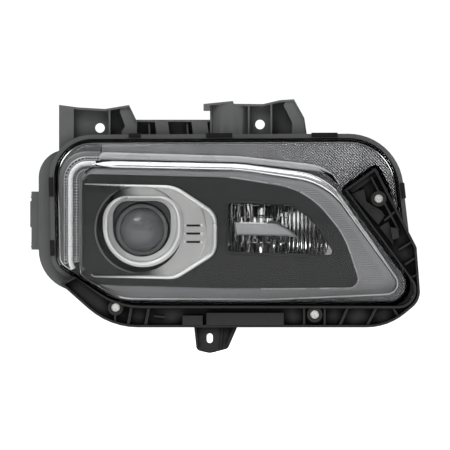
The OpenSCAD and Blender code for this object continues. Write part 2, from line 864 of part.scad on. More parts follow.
module bracket_ribs(wide) {
    top = bracket_front + 3;
    pad = bracket_front + 6.5;
    rib([17.8, -212], [17.8, -230], wide, top, plate_front);
    for (x = [37, 57]) rib([x, -203], [x - 5, -230], wide + 1, top, plate_front);
    rib([62, -216], [75, -217.5], wide, pad, plate_front);
    block([95, bracket_front, -226.5], [118, plate_front, -215.5]);
    block([122.5, bracket_front - 1, -226.5], [211, plate_front, -212.5]);
    for (x = [234.5, 258]) rib([x, -203], [x, -230], wide, top, plate_front);
    rib([286, -203], [274, -230], wide + 0.6, top, plate_front);
    rib([319, -203], [305, -230], wide + 0.6, top, plate_front);
    rib([334, -203], [346, -222], wide, top, plate_front);
    slab(pad, plate_front) polygon([[283, -72], [315, -49], [318, -55], [291, -74]]);
    slab(pad, plate_front)
        polygon([[288.5, -76], [303, -70.5], [306, -85], [323, -95], [327, -101], [319.5, -111]]);
    slab(pad, plate_front) polygon([[321, -114], [331, -107.5], [334, -116], [336.5, -129], [337, -135]]);
    rib([311, -56], [343, -118], wide, top, plate_front);
    rib([326.5, -106.5], [339, -96], wide, top, plate_front);
    slab(bracket_front, plate_front) polygon([[333.5, -114], [342, -115.5], [343.5, -126], [336, -128.5]]);
    rib([343, -140], [366, -126], wide, top, plate_front);
    rib([350, -157], [370, -144], wide, top, plate_front);
    rib([356, -172], [370, -166], wide, top, plate_front);
}

module lower_tab() {
    slab(-22, -18) outline(tab_outline);
    rib([109.5, -226.5], [112, -252], 2.4, -27, -18);
    rib([155.6, -226.5], [146.2, -250], 2.4, -27, -18);
    rib([141, -226.5], [138.5, -254], 1.6, -24, -18);
}

module slot_drawing() {
    half = slot_length / 2 - slot_r;
    for (side = [-1, 1]) translate([0, side * half]) circle(r = slot_r);
    translate([-slot_r, -half]) square([2 * slot_r, 2 * half]);
}

module bracket_screws() {
    color([0.75, 0.75, 0.76]) for (p = bracket_screw_places) difference() {
        union() {
            post(p, screw_r, plate_front - 2, -21);
            post(p, screw_head_r, plate_front - 2.5, plate_front - 1.5);
            post(p, screw_head_r - 0.9, plate_front - 5, plate_front - 2.5);
        }
        for (turned = [0, 30]) translate([p[0], plate_front - 6, p[1]]) rotate([-90, turned, 0])
            cylinder(r = 2, h = 3, $fn = 6);
    }
}

// The tilting projector ----------------------------------------------------------------------------

module carrier() {
    color([0.62, 0.63, 0.64]) difference() {
        union() {
            slab(carrier_front, carrier_back) {
                translate(optic) circle(r = carrier_r);
                translate(aim_at) circle(r = aim_nut_r + 3);
                translate([lever_x - 11, -178]) square([22, 30]);
                translate([optic[0] - pivot_half + 3, pivot_z - 6]) square([2 * pivot_half - 6, 12]);
            }
            for (side = [-1, 1]) {
                inner = optic[0] + side * (pivot_half - 10);
                outer = optic[0] + side * (pivot_half - 2);
                tip = optic[0] + side * (pivot_half + 8);
                block([min(inner, outer), pivot_y - 5, pivot_z - 6],
                      [max(inner, outer), pivot_y + 5, pivot_z + 6]);
                pin_x(min(inner, tip), max(inner, tip), pivot_y, pivot_z, pivot_r);
            }
        }
        post(optic, bowl_r + bowl_wall + 0.2, -10, 20);
        post(aim_at, aim_nut_r, -10, 20);
        post([lever_x, shutter_z - lever_length], plunger_r + 0.8, -10, 20);
        for (p = projector_screw_places) post(p, 1.5, -10, 20);
    }
}

module aim_nut() {
    play = 0.6;
    color("white") revolve(aim_at, [[aim_r + play, -2], [aim_nut_r, -2], [aim_nut_r, carrier_back],
                                    [8.5, carrier_back], [8.5, 12], [aim_r + play, 12]]);
}

module projector_bowl() {
    steps = 8;
    curve = [for (i = [0 : steps]) let (y = neck_y * i / steps)
        [bowl_r * sqrt(1 - pow(y / bowl_depth, 2)), y]];
    color([0.8, 0.81, 0.82]) difference() {
        revolve(optic, concat(curve, [[neck_r, neck_y], [neck_r, neck_y + 8],
                                      [curve[steps][0] + bowl_wall, neck_y + 8]],
                              [for (i = [steps : -1 : 1]) curve[i] + [bowl_wall, 0]],
                              [[bowl_r + bowl_wall, carrier_front], [flange_r, carrier_front],
                               [flange_r, 0]]));
        projector_cuts();
    }
}

// The screw holes and the notch for the aiming nut in the projector's flanges
module projector_cuts() {
    post(aim_at, aim_nut_r + 1, -12, carrier_front);
    for (p = projector_screw_places) post(p, 1.5, -10, carrier_front + 1);
}

module lens_holder() {
    seat = glass_r + 0.1;
    color([0.2, 0.2, 0.21]) difference() {
        revolve(optic, [[glass_r - 0.9, -35], [glass_r + 3, -35], [glass_r + 3, -22], [holder_r, -16],
                        [holder_r, -3], [flange_r, -3], [flange_r, 0], [holder_bore_r, 0],
                        [holder_bore_r, -15], [glass_r + 0.5, -21], [glass_r + 0.5, -27],
                        [glass_r - 2, -28], [glass_r - 2, glass_back_y], [seat, glass_back_y],
                        [seat, glass_seat_y], [glass_r - 0.9, glass_seat_y]]);
        projector_cuts();
        pin_x(optic[0] - 40, optic[0] + 40, shutter_y, shutter_z, shutter_pin_r);
        block([lever_x - 4, -15, shutter_z - 16], [lever_x + 4, -3.2, shutter_z - 2]);
    }
}

module projector_lens() {
    rim = glass_r - 1.2;
    tip = glass_seat_y - glass_tip_y;
    face_r = (rim * rim + tip * tip) / (2 * tip);
    color([0.7, 0.75, 0.8, 0.5]) {
        intersection() {
            translate([optic[0], glass_tip_y + face_r, optic[1]]) sphere(r = face_r);
            post(optic, rim, glass_tip_y - 1, glass_seat_y + 0.5);
        }
        post(optic, glass_r, glass_seat_y, glass_back_y);
    }
}

module projector_screws() {
    color("silver") for (p = projector_screw_places) {
        post(p, 1.5, -3, carrier_back - 0.5);
        post(p, 2.8, -5.2, -3);
    }
}

module low_beam_glass() {
    color([0.9, 0.93, 0.95, 0.5]) {
        post(optic, 5, 22, neck_y + 1);
        translate([optic[0], 22, optic[1]]) sphere(r = 5);
    }
}

module low_beam_base() {
    color([0.7, 0.7, 0.68]) {
        post(optic, neck_r, neck_y + 1, neck_y + 8);
        post(optic, neck_r + 3.5, neck_y + 8, neck_y + 11);
        post(optic, 9, neck_y + 11, neck_y + 22);
    }
}

module bulb_plug() {
    color([0.15, 0.15, 0.16]) {
        block([optic[0] - 11, neck_y + 22, optic[1] - 8], [optic[0] + 11, neck_y + 38, optic[1] + 8]);
        block([optic[0] - 4, neck_y + 24, optic[1] + 8], [optic[0] + 4, neck_y + 34, optic[1] + 10]);
    }
}

module cutoff_shutter() {
    color([0.3, 0.3, 0.3]) difference() {
        union() {
            slab(shutter_y - 1, shutter_y + 1)
                polygon([[28, shutter_z], [28, -124], [34, optic[1]], [47, optic[1]], [51, optic[1] - 2],
                         [64, optic[1] - 2], [69, -126], [69, shutter_z]]);
            pin_x(30, 58, shutter_y, shutter_z, 3);
            block([lever_x - 3, shutter_y - 1, shutter_z - lever_length - 4],
                  [lever_x + 3, shutter_y + 1, shutter_z]);
        }
        pin_x(20, 80, shutter_y, shutter_z, shutter_pin_r + 0.05);
        block([58, shutter_y - 5, shutter_z - 5], [80, shutter_y + 5, shutter_z + 4.5]);
    }
}

module shutter_pin() {
    color("silver") pin_x(optic[0] - 25, optic[0] + 25, shutter_y, shutter_z, shutter_pin_r);
}

module solenoid() {
    at = [lever_x, shutter_z - lever_length];
    color([0.25, 0.25, 0.27]) difference() {
        union() {
            block([at[0] - 9, carrier_back, at[1] - 9], [at[0] + 9, carrier_back + 2.5, at[1] + 9]);
            post(at, 8, carrier_back + 2.5, 36);
        }
        post(at, plunger_r + pivot_gap, carrier_back - 1, 26);
    }
}

module plunger() {
    at = [lever_x, shutter_z - lever_length];
    tip_r = 3;
    tip_y = shutter_y + 1 + gap + tip_r;
    color("silver") {
        translate([at[0], tip_y, at[1]]) sphere(r = tip_r);
        post(at, plunger_r, tip_y, 22);
    }
}

housing();
seal_bead();
outer_lens();
lens_clips();
main_bezel();
bezel_screws();
satin_trim();
chrome_frame();
projector_shroud();
upper_panel();
diffuser_strip();
light_guide();
guide_tray();
led_board();
led_heat_sink();
led_lead();
turn_reflector();
turn_bulb_shield();
turn_bulb();
turn_socket();
turn_socket_seal();
bumper_bracket();
bracket_screws();
driver_cover();
driver_cover_screws();
main_connector();
connector_pins();
vent_elbows();
pivot_sockets();
aim_screw();
low_beam_cap();
cap_seal();
carrier();
aim_nut();
projector_bowl();
lens_holder();
projector_lens();
projector_screws();
low_beam_glass();
low_beam_base();
bulb_plug();
cutoff_shutter();
shutter_pin();
solenoid();
plunger();
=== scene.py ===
import math
import bmesh
import bpy
import numpy as np
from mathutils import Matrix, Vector


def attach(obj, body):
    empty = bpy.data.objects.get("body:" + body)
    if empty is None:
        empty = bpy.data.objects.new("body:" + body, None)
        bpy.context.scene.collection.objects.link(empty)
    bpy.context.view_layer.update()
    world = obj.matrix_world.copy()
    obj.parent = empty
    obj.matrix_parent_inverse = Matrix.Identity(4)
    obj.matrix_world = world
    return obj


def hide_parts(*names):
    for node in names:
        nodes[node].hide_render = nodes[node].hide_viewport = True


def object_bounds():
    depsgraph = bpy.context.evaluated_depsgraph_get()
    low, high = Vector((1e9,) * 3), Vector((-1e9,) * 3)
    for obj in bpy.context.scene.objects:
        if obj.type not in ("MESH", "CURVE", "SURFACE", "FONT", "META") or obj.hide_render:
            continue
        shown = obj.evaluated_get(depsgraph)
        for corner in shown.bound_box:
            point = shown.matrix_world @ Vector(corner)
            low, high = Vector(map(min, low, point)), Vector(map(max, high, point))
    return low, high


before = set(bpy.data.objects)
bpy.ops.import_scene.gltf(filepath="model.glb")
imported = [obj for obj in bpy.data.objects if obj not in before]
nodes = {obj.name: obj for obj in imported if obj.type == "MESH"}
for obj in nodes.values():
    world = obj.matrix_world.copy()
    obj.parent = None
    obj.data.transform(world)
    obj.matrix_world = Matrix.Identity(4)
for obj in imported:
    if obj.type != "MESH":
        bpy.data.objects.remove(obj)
cad_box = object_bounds()
scene = bpy.context.scene
scene.view_settings.view_transform = "Standard"
MM = 0.001

# ---------------------------------------------------------------- camera, world, lights, floor
CENTRE = Vector((0.14375, 0.0, -0.1116))
FIELD = 0.5175
DISTANCE = 14.0
SENSOR = 36.0
ROOM_LIGHT = 0.75
camera_data = bpy.data.cameras.new("camera")
camera = bpy.data.objects.new("camera", camera_data)
scene.collection.objects.link(camera)
camera.location = CENTRE + Vector((0, -DISTANCE, 0))
camera.rotation_euler = (math.pi / 2, 0, 0)
camera_data.sensor_width = SENSOR
camera_data.lens = SENSOR * DISTANCE / FIELD
camera_data.clip_end = 100.0
scene.camera = camera

world = bpy.data.worlds.new("studio")
scene.world = world
world.use_nodes = True
wt = world.node_tree
wt.nodes.clear()


def world_node(kind, **values):
    """A node of the world's tree, with its inputs set by name."""
    node = wt.nodes.new(kind)
    for key, value in values.items():
        node.inputs[key.replace("_", " ")].default_value = value
    return node


# Seen directly the world is white; what lights the object is a room, bright above and dark below
w_out = world_node("ShaderNodeOutputWorld")
w_path = world_node("ShaderNodeLightPath")
w_mix = world_node("ShaderNodeMixShader")
w_seen = world_node("ShaderNodeBackground", Color=(1, 1, 1, 1), Strength=1.05)
w_lit = world_node("ShaderNodeBackground", Strength=ROOM_LIGHT)
w_coord = world_node("ShaderNodeTexCoord")
w_split = world_node("ShaderNodeSeparateXYZ")
w_up = world_node("ShaderNodeValToRGB")
w_scale = world_node("ShaderNodeMapRange", From_Min=-1.0, From_Max=1.0)
ramp = w_up.color_ramp
ramp.elements[0].color = (0.10, 0.10, 0.10, 1)
for place, grey in ((0.42, 0.14), (0.52, 0.22), (0.66, 0.42), (0.85, 1.0)):
    ramp.elements.new(place).color = (grey, grey, grey, 1)
wt.links.new(w_coord.outputs["Generated"], w_split.inputs[0])
wt.links.new(w_split.outputs["Z"], w_scale.inputs["Value"])
wt.links.new(w_scale.outputs["Result"], w_up.inputs["Fac"])
wt.links.new(w_up.outputs["Color"], w_lit.inputs["Color"])
wt.links.new(w_path.outputs["Is Camera Ray"], w_mix.inputs["Fac"])
wt.links.new(w_lit.outputs[0], w_mix.inputs[1])
wt.links.new(w_seen.outputs[0], w_mix.inputs[2])
wt.links.new(w_mix.outputs[0], w_out.inputs["Surface"])


def softbox(name, place, target, size, power):
    """A rectangular light that faces target."""
    data = bpy.data.lights.new(name, "AREA")
    data.shape = "RECTANGLE"
    data.size = size[0]
    data.size_y = size[1]
    data.energy = power
    light = bpy.data.objects.new(name, data)
    light.location = place
    light.rotation_euler = (Vector(target) - Vector(place)).to_track_quat("-Z", "Y").to_euler()
    scene.collection.objects.link(light)


softbox("key", (-0.75, -1.3, 1.45), CENTRE, (1.1, 0.6), 30)
softbox("fill", (2.1, -0.8, 0.3), CENTRE, (0.9, 1.6), 26)
softbox("top", (0.15, -0.45, 1.5), CENTRE, (1.6, 0.5), 18)
softbox("back_left", (-1.4, 1.2, 0.9), CENTRE, (0.8, 0.8), 14)
softbox("back_right", (1.6, 1.4, 0.8), CENTRE, (0.8, 0.8), 14)


# ---------------------------------------------------------------- materials
def new_material(name):
    m = bpy.data.materials.new(name)
    m.use_nodes = True
    tree = m.node_tree
    return m, tree, tree.nodes["Principled BSDF"]


def coords(tree):
    """Places on the piece itself, in metres."""
    return tree.nodes.new("ShaderNodeTexCoord").outputs["Object"]


def noise(tree, vector, scale, detail=4.0, rough=0.55):
    n = tree.nodes.new("ShaderNodeTexNoise")
    n.inputs["Scale"].default_value = scale
    n.inputs["Detail"].default_value = detail
    n.inputs["Roughness"].default_value = rough
    tree.links.new(vector, n.inputs["Vector"])
    return n.outputs["Fac"]


def remap(tree, value, low, high, from_low=0.3, from_high=0.7):
    m = tree.nodes.new("ShaderNodeMapRange")
    m.inputs["From Min"].default_value = from_low
    m.inputs["From Max"].default_value = from_high
    m.inputs["To Min"].default_value = low
    m.inputs["To Max"].default_value = high
    tree.links.new(value, m.inputs["Value"])
    return m.outputs["Result"]


def tinted(tree, value, dark, light):
    """A colour between dark and light, by a value that runs from about 0.3 to 0.7."""
    r = tree.nodes.new("ShaderNodeValToRGB")
    r.color_ramp.elements[0].position = 0.3
    r.color_ramp.elements[1].position = 0.72
    r.color_ramp.elements[0].color = (*dark, 1)
    r.color_ramp.elements[1].color = (*light, 1)
    tree.links.new(value, r.inputs["Fac"])
    return r.outputs["Color"]


def bumped(tree, bsdf, height, distance, strength):
    """Gives a shader a bump, distance in metres."""
    b = tree.nodes.new("ShaderNodeBump")
    b.inputs["Distance"].default_value = distance
    b.inputs["Strength"].default_value = strength
    tree.links.new(height, b.inputs["Height"])
    tree.links.new(b.outputs["Normal"], bsdf.inputs["Normal"])


def grained(name, colour, rough, metallic=0.0, grain=900.0, depth=0.00006, strength=0.5, spread=0.12,
            specular=0.5, patches=14.0, coat=0.0):
    """Moulded, painted or cast surface: fine grain, large soft patches of gloss, small colour drift."""
    m, tree, bsdf = new_material(name)
    v = coords(tree)
    broad = noise(tree, v, patches, 3.0)
    fine = noise(tree, v, grain, 2.0, 0.5)
    c0 = [max(0.0, k * (1 - spread)) for k in colour]
    c1 = [min(1.0, k * (1 + spread)) for k in colour]
    tree.links.new(tinted(tree, broad, c0, c1), bsdf.inputs["Base Color"])
    tree.links.new(remap(tree, broad, max(0.02, rough - 0.08), min(1.0, rough + 0.08)),
                   bsdf.inputs["Roughness"])
    bsdf.inputs["Metallic"].default_value = metallic
    bsdf.inputs["Specular IOR Level"].default_value = specular
    bsdf.inputs["Coat Weight"].default_value = coat
    bsdf.inputs["Coat Roughness"].default_value = 0.08
    bumped(tree, bsdf, fine, depth, strength)
    return m


def clear(name, tint, rough, fresnel_ior, strength=1.0):
    """Thin clear wall: lets light straight through and mirrors by Fresnel."""
    m, tree, bsdf = new_material(name)
    out = tree.nodes["Material Output"]
    tree.nodes.remove(bsdf)
    through = tree.nodes.new("ShaderNodeBsdfTransparent")
    gloss = tree.nodes.new("ShaderNodeBsdfGlossy")
    mix = tree.nodes.new("ShaderNodeMixShader")
    edge = tree.nodes.new("ShaderNodeFresnel")
    through.inputs["Color"].default_value = (*tint, 1)
    gloss.inputs["Color"].default_value = (strength, strength, strength, 1)
    v = coords(tree)
    tree.links.new(remap(tree, noise(tree, v, 9.0), rough * 0.5, rough * 1.5), gloss.inputs["Roughness"])
    edge.inputs["IOR"].default_value = fresnel_ior
    tree.links.new(edge.outputs[0], mix.inputs["Fac"])
    tree.links.new(through.outputs[0], mix.inputs[1])
    tree.links.new(gloss.outputs[0], mix.inputs[2])
    tree.links.new(mix.outputs[0], out.inputs["Surface"])
    return m


def hazy(name, grey, share):
    """Glass with a fine texture on its face: partly clear, partly pale, mirrors by Fresnel."""
    m, tree, bsdf = new_material(name)
    out = tree.nodes["Material Output"]
    bsdf.inputs["Base Color"].default_value = (*grey, 1)
    bsdf.inputs["IOR"].default_value = 1.5
    v = coords(tree)
    tree.links.new(remap(tree, noise(tree, v, 60.0), 0.12, 0.3), bsdf.inputs["Roughness"])
    bumped(tree, bsdf, noise(tree, v, 500.0, 2.0), 0.00004, 0.4)
    through = tree.nodes.new("ShaderNodeBsdfTransparent")
    through.inputs["Color"].default_value = (0.8, 0.81, 0.82, 1)
    mix = tree.nodes.new("ShaderNodeMixShader")
    mix.inputs["Fac"].default_value = share
    tree.links.new(bsdf.outputs[0], mix.inputs[1])
    tree.links.new(through.outputs[0], mix.inputs[2])
    tree.links.new(mix.outputs[0], out.inputs["Surface"])
    return m


def painted_shade_ramp(name, dark, light, rough, metallic, start, end, slope):
    """Satin plating with painted shade: its colour darkens smoothly towards one side, along x + slope z,
    standing in for the dark surroundings it mirrors there.
    """
    m, tree, bsdf = new_material(name)
    v = coords(tree)
    slant = tree.nodes.new("ShaderNodeVectorMath")
    slant.operation = "DOT_PRODUCT"
    slant.inputs[1].default_value = (1.0, 0.0, slope)
    tree.links.new(v, slant.inputs[0])
    share = remap(tree, slant.outputs["Value"], 0.3, 0.72, start, end)
    tree.links.new(tinted(tree, share, dark, light), bsdf.inputs["Base Color"])
    broad = noise(tree, v, 14.0, 3.0)
    tree.links.new(remap(tree, broad, rough - 0.06, rough + 0.06), bsdf.inputs["Roughness"])
    bsdf.inputs["Metallic"].default_value = metallic
    bumped(tree, bsdf, noise(tree, v, 3200.0, 2.0, 0.5), 0.00002, 0.5)
    return m


MAT = {
    # The plate's colour darkens towards its left end: painted shade, standing in for the dark surroundings
    # it mirrors.
    "plate": painted_shade_ramp("plate_silver_painted_shade", (0.035, 0.035, 0.035), (0.37, 0.37, 0.36), 0.36, 0.75, 0.0, 0.022, 0.33),
    "skirt": grained("aperture_wall", (0.022, 0.022, 0.0225), 0.5, grain=1500, specular=0.3),
    "housing": grained("housing_plastic", (0.05, 0.051, 0.052), 0.46, grain=1400, depth=0.00005,
                       specular=0.45),
    "bracket": grained("bracket_plastic", (0.004, 0.004, 0.0045), 0.3, grain=1100, depth=0.00005,
                       specular=0.2),
    "clip": grained("clip_plastic", (0.006, 0.006, 0.006), 0.5, grain=1000, specular=0.15),
    "rubber": grained("black_rubber", (0.016, 0.016, 0.016), 0.75, grain=1800, specular=0.25),
    "bezel": grained("bezel_plastic", (0.014, 0.0142, 0.0145), 0.5, grain=2400, depth=0.00004, strength=0.6,
                     specular=0.3),
    # The lip is the bezel plastic made lighter: its rounded form is real, its pale colour is a painted
    # highlight along the rounded edges.
    "lip": grained("bezel_edge_painted_highlight", (0.075, 0.076, 0.077), 0.35, grain=2400, depth=0.00003,
                   specular=0.5),
    "satin": grained("satin_paint", (0.17, 0.17, 0.172), 0.4, metallic=0.5, grain=3000, depth=0.00002,
                     spread=0.06),
    "chrome": grained("bright_metal_film", (0.62, 0.62, 0.625), 0.27, metallic=1.0, grain=400, depth=0.00001,
                      strength=0.05, spread=0.03),
    "silver": grained("satin_silver", (0.36, 0.36, 0.35), 0.36, metallic=0.75, grain=3200, depth=0.00002,
                      spread=0.04),
    "ring": grained("ring_silver", (0.52, 0.52, 0.51), 0.4, metallic=0.35, grain=3200, depth=0.00002,
                    spread=0.04),
    "crest": grained("ring_crest", (0.62, 0.62, 0.61), 0.34, metallic=0.5, grain=3200, depth=0.00001,
                     spread=0.03),
    "polished": grained("polished_edge", (0.66, 0.66, 0.65), 0.28, metallic=0.8, grain=500, depth=0.00001,
                        strength=0.04, spread=0.03),
    "panel": grained("hatched_panel", (0.165, 0.165, 0.167), 0.2, metallic=0.85, grain=2600, depth=0.00002,
                     spread=0.08),
    "milky": grained("milky_diffuser", (0.27, 0.27, 0.268), 0.3, grain=2200, depth=0.00002, spread=0.05,
                     coat=0.2),
    "guide": grained("guide_acrylic", (0.5, 0.5, 0.497), 0.2, grain=800, depth=0.00003, spread=0.04,
                     coat=0.3),
    "tray": grained("tray_silver", (0.27, 0.27, 0.272), 0.32, metallic=0.3, grain=2200, depth=0.00002),
    "tray_base": grained("tray_base", (0.012, 0.012, 0.0125), 0.45, grain=2200, depth=0.00002, specular=0.3),
    "rail": grained("tray_rail", (0.1, 0.1, 0.101), 0.35, metallic=0.3, grain=2200, depth=0.00002),
    "holder": grained("holder_plastic", (0.085, 0.085, 0.086), 0.5, grain=1500, specular=0.3),
    "steel": grained("plated_steel", (0.55, 0.55, 0.53), 0.28, metallic=1.0, grain=1600, depth=0.00003,
                     spread=0.12, patches=300),
    "dark_steel": grained("blackened_steel", (0.06, 0.06, 0.06), 0.4, metallic=0.8, grain=1500, patches=60),
    "aluminium": grained("cast_aluminium", (0.42, 0.425, 0.43), 0.45, metallic=0.9, grain=900, depth=0.00008,
                         patches=40),
    "white": grained("white_acetal", (0.7, 0.7, 0.67), 0.35, grain=900),
    "brass": grained("tinned_brass", (0.7, 0.56, 0.3), 0.25, metallic=1.0, grain=1500),
    "board": grained("circuit_board", (0.012, 0.03, 0.016), 0.4, grain=700),
    "orange": grained("orange_silicone", (0.45, 0.13, 0.03), 0.6, grain=1500, specular=0.3),
    "grey": grained("grey_plastic", (0.2, 0.2, 0.2), 0.45, grain=1300),
    "bar": grained("bar_silver", (0.25, 0.252, 0.254), 0.34, metallic=0.4, grain=2600, depth=0.00002,
                   spread=0.04),
    "lens": clear("clear_polycarbonate", (0.985, 0.987, 0.99), 0.02, 1.2, 0.3),
    "glass": clear("clear_glass", (0.8, 0.82, 0.84), 0.02, 1.6),
    "smoke": clear("clear_bulb_glass", (0.86, 0.86, 0.85), 0.03, 1.5),
    "dish": grained("reflector_film", (0.42, 0.42, 0.42), 0.07, metallic=1.0, grain=400, depth=0.00001,
                    strength=0.15, spread=0.04),
    "hazy": hazy("projector_glass", (0.16, 0.163, 0.165), 0.45),
}


def painted_shade_in_recesses(material, distance, low, high):
    """Moulded surface with painted shade: ambient occlusion lowers its specular level, so it shines on its
    open faces and edges and stays dark in its pockets.
    """
    tree = material.node_tree
    near = tree.nodes.new("ShaderNodeAmbientOcclusion")
    near.samples = 8
    near.only_local = True
    near.inputs["Distance"].default_value = distance
    gloss = remap(tree, near.outputs["AO"], low, high, 0.45, 0.95)
    tree.links.new(gloss, tree.nodes["Principled BSDF"].inputs["Specular IOR Level"])


# Painted shade in the pockets of the bracket and the housing.
painted_shade_in_recesses(MAT["bracket"], 0.012, 0.02, 0.36)
painted_shade_in_recesses(MAT["housing"], 0.014, 0.05, 0.47)

# ---------------------------------------------------------------- the CAD's own pieces: material and edges
NODE_MATERIAL = {
    "housing": "housing", "seal_bead": "rubber", "outer_lens": "lens", "lens_clips": "clip",
    "main_bezel": "bezel", "bezel_screws": "steel", "satin_trim": "satin", "chrome_frame": "chrome",
    "projector_shroud": "silver",
    "upper_panel": "panel", "diffuser_strip": "milky", "light_guide": "guide", "guide_tray": "tray_base",
    "led_board": "board", "led_heat_sink": "aluminium", "led_lead": "rubber", "turn_reflector": "dish",
    "turn_bulb_shield": "bar", "turn_bulb": "smoke", "turn_socket": "grey", "turn_socket_seal": "orange",
    "bumper_bracket": "bracket", "bracket_screws": "steel", "driver_cover": "housing",
    "driver_cover_screws": "steel", "main_connector": "clip", "connector_pins": "brass",
    "vent_elbows": "rubber", "pivot_sockets": "white", "aim_screw": "steel", "low_beam_cap": "clip",
    "cap_seal": "rubber",
    "carrier": "aluminium", "aim_nut": "white", "projector_bowl": "aluminium", "lens_holder": "holder",
    "projector_lens": "hazy", "projector_screws": "steel", "low_beam_glass": "glass",
    "low_beam_base": "steel", "bulb_plug": "clip", "cutoff_shutter": "dark_steel", "shutter_pin": "steel",
    "solenoid": "clip", "plunger": "steel",
}
BEVELS = {"housing": 0.7, "bumper_bracket": 0.8, "lens_clips": 0.2, "driver_cover": 0.6, "low_beam_cap": 0.5,
          "main_connector": 0.4, "turn_socket": 0.4, "bracket_screws": 0.25, "driver_cover_screws": 0.2,
          "bezel_screws": 0.2, "turn_bulb_shield": 0.5, "vent_elbows": 0.5, "main_bezel": 0.4}
BEVEL_ANGLE = 38
WELD_REACH = 0.00001


def round_edges(node, width):
    """Welds a CAD piece and rounds its edges, without touching its mesh."""
    weld = node.modifiers.new("weld", "WELD")
    weld.merge_threshold = WELD_REACH
    bevel = node.modifiers.new("edge", "BEVEL")
    bevel.width = width * MM
    bevel.segments = 2
    bevel.limit_method = "ANGLE"
    bevel.angle_limit = math.radians(BEVEL_ANGLE)
    bevel.harden_normals = False


for name, node in nodes.items():
    material = MAT[NODE_MATERIAL[name]]
    if len(node.material_slots) == 0:
        node.data.materials.append(material)
    for place in node.material_slots:
        place.material = material
    if name in BEVELS:
        round_edges(node, BEVELS[name])

# ---------------------------------------------------------------- outlines, in the CAD's millimetres
# Each corner is x, z and the radius of its rounding
LENS = [[-52, -14.5, 42], [336, -13, 57], [358, -203.5, 22], [21, -203, 80], [-49, -157, 18]]
POCKET = [[279.8, -71.3, 3], [316.8, -45, 3], [350.4, -109.5, 3], [400, -109.5, 0], [400, -198, 0],
          [362, -182, 3]]
CHROME_IN = [[-19.5, -46, 14], [161, -49.5, 230], [260, -65, 80], [351, -189, 11.5], [195, -195.8, 460],
             [22.5, -194.8, 57], [-19.5, -168.5, 8]]
CHROME_OUT = [[-25.3, -37, 18], [161, -41, 230], [261, -54, 70], [354.5, -191, 14], [195, -198.3, 460],
              [21, -197.5, 60], [-25.3, -168.5, 12]]
SATIN_OUT = [[-19.5, -46, 14], [161, -49.5, 230], [260, -65, 80], [300, -119.5, 0.2], [351, -189, 11.5],
             [195, -195.8, 460], [22.5, -194.8, 57], [-1.9, -179.6, 0.05]]
SATIN_IN = [[-19.3, -53, 9], [144, -57, 230], [237, -71.5, 92], [279.5, -123, 100], [299.5, -183, 10],
            [144, -184, 0.2], [20, -181, 60], [-2, -179.5, 0.05]]
POD = [[-17.5, -64, 1], [86, -66, 40], [135, -98, 23], [134.5, -144.5, 21], [87.5, -174, 29],
       [-11, -171.3, 7]]
BAR = [[154, -108, 0.8], [202, -109.5, 20], [217, -117, 20], [228.3, -126.5, 0.2], [215, -124.2, 4],
       [156, -123, 2]]
WINDOW = [[148, -87, 3.5], [218.5, -89, 23], [244, -107, 34], [269.5, -145.5, 3.5], [148, -142, 3.5]]
STRIP = [[2, -28, 6], [161, -32.5, 300], [264, -44, 48], [276.5, -64.5, 0.2], [260, -51.5, 40],
         [161, -39.8, 230], [-3, -36.3, 2]]

# The lens's face is part of a large ball that reaches furthest forward at FACE_CENTRE
FACE_R = 1200.0
FACE_CENTRE = (150.0, -110.0)
REACH = 72.0

# Round forms of the projector's surround and the turn signal: centre (x, z), radius, flat top, corner radius
FUNNEL = (45.8, -116.0)
FUNNEL_R = 49.3
OPTIC = (48.5, -117.0)
RING = (49.9, -113.7)
RING_R, RING_TOP, RING_CORNER = 46.2, 35.4, 28.0
APERTURE = (48.4, -114.6)
APERTURE_R, APERTURE_TOP, APERTURE_CORNER = 33.1, 30.5, 18.0
TURN = (200.0, -117.0)


def v2(a):
    return Vector((a[0], a[1]))


def left_of(a):
    return Vector((-a[1], a[0]))


def side_of(points, i):
    """The direction to the left of a path at its point i."""
    return left_of((points[min(i + 1, len(points) - 1)] - points[max(i - 1, 0)]).normalized())


def both_sides(points, reach):
    """The pairs of points reach(i) to either side of a path's points."""
    return [(p - reach(i) * side_of(points, i), p + reach(i) * side_of(points, i))
            for i, p in enumerate(points)]


def grown(corners, d):
    """The outline moved outward by d, as the CAD does it."""
    n = len(corners)
    out = []
    for i, b in enumerate(corners):
        e1 = (v2(b) - v2(corners[i - 1]))
        e2 = (v2(corners[(i + 1) % n]) - v2(b))
        n1, n2 = left_of(e1.normalized()), left_of(e2.normalized())
        p = v2(b) + d * (n1 + n2) / (1 + n1.dot(n2))
        turn = e1.x * e2.y - e1.y * e2.x
        out.append([p.x, p.y, 0 if b[2] < 0.05 else max(0.02, b[2] + d if turn < 0 else b[2] - d)])
    return out


def mixed(a, b, t):
    """The outline a share t of the way from outline a to outline b."""
    return [[a[i][k] * (1 - t) + b[i][k] * t for k in range(3)] for i in range(len(a))]


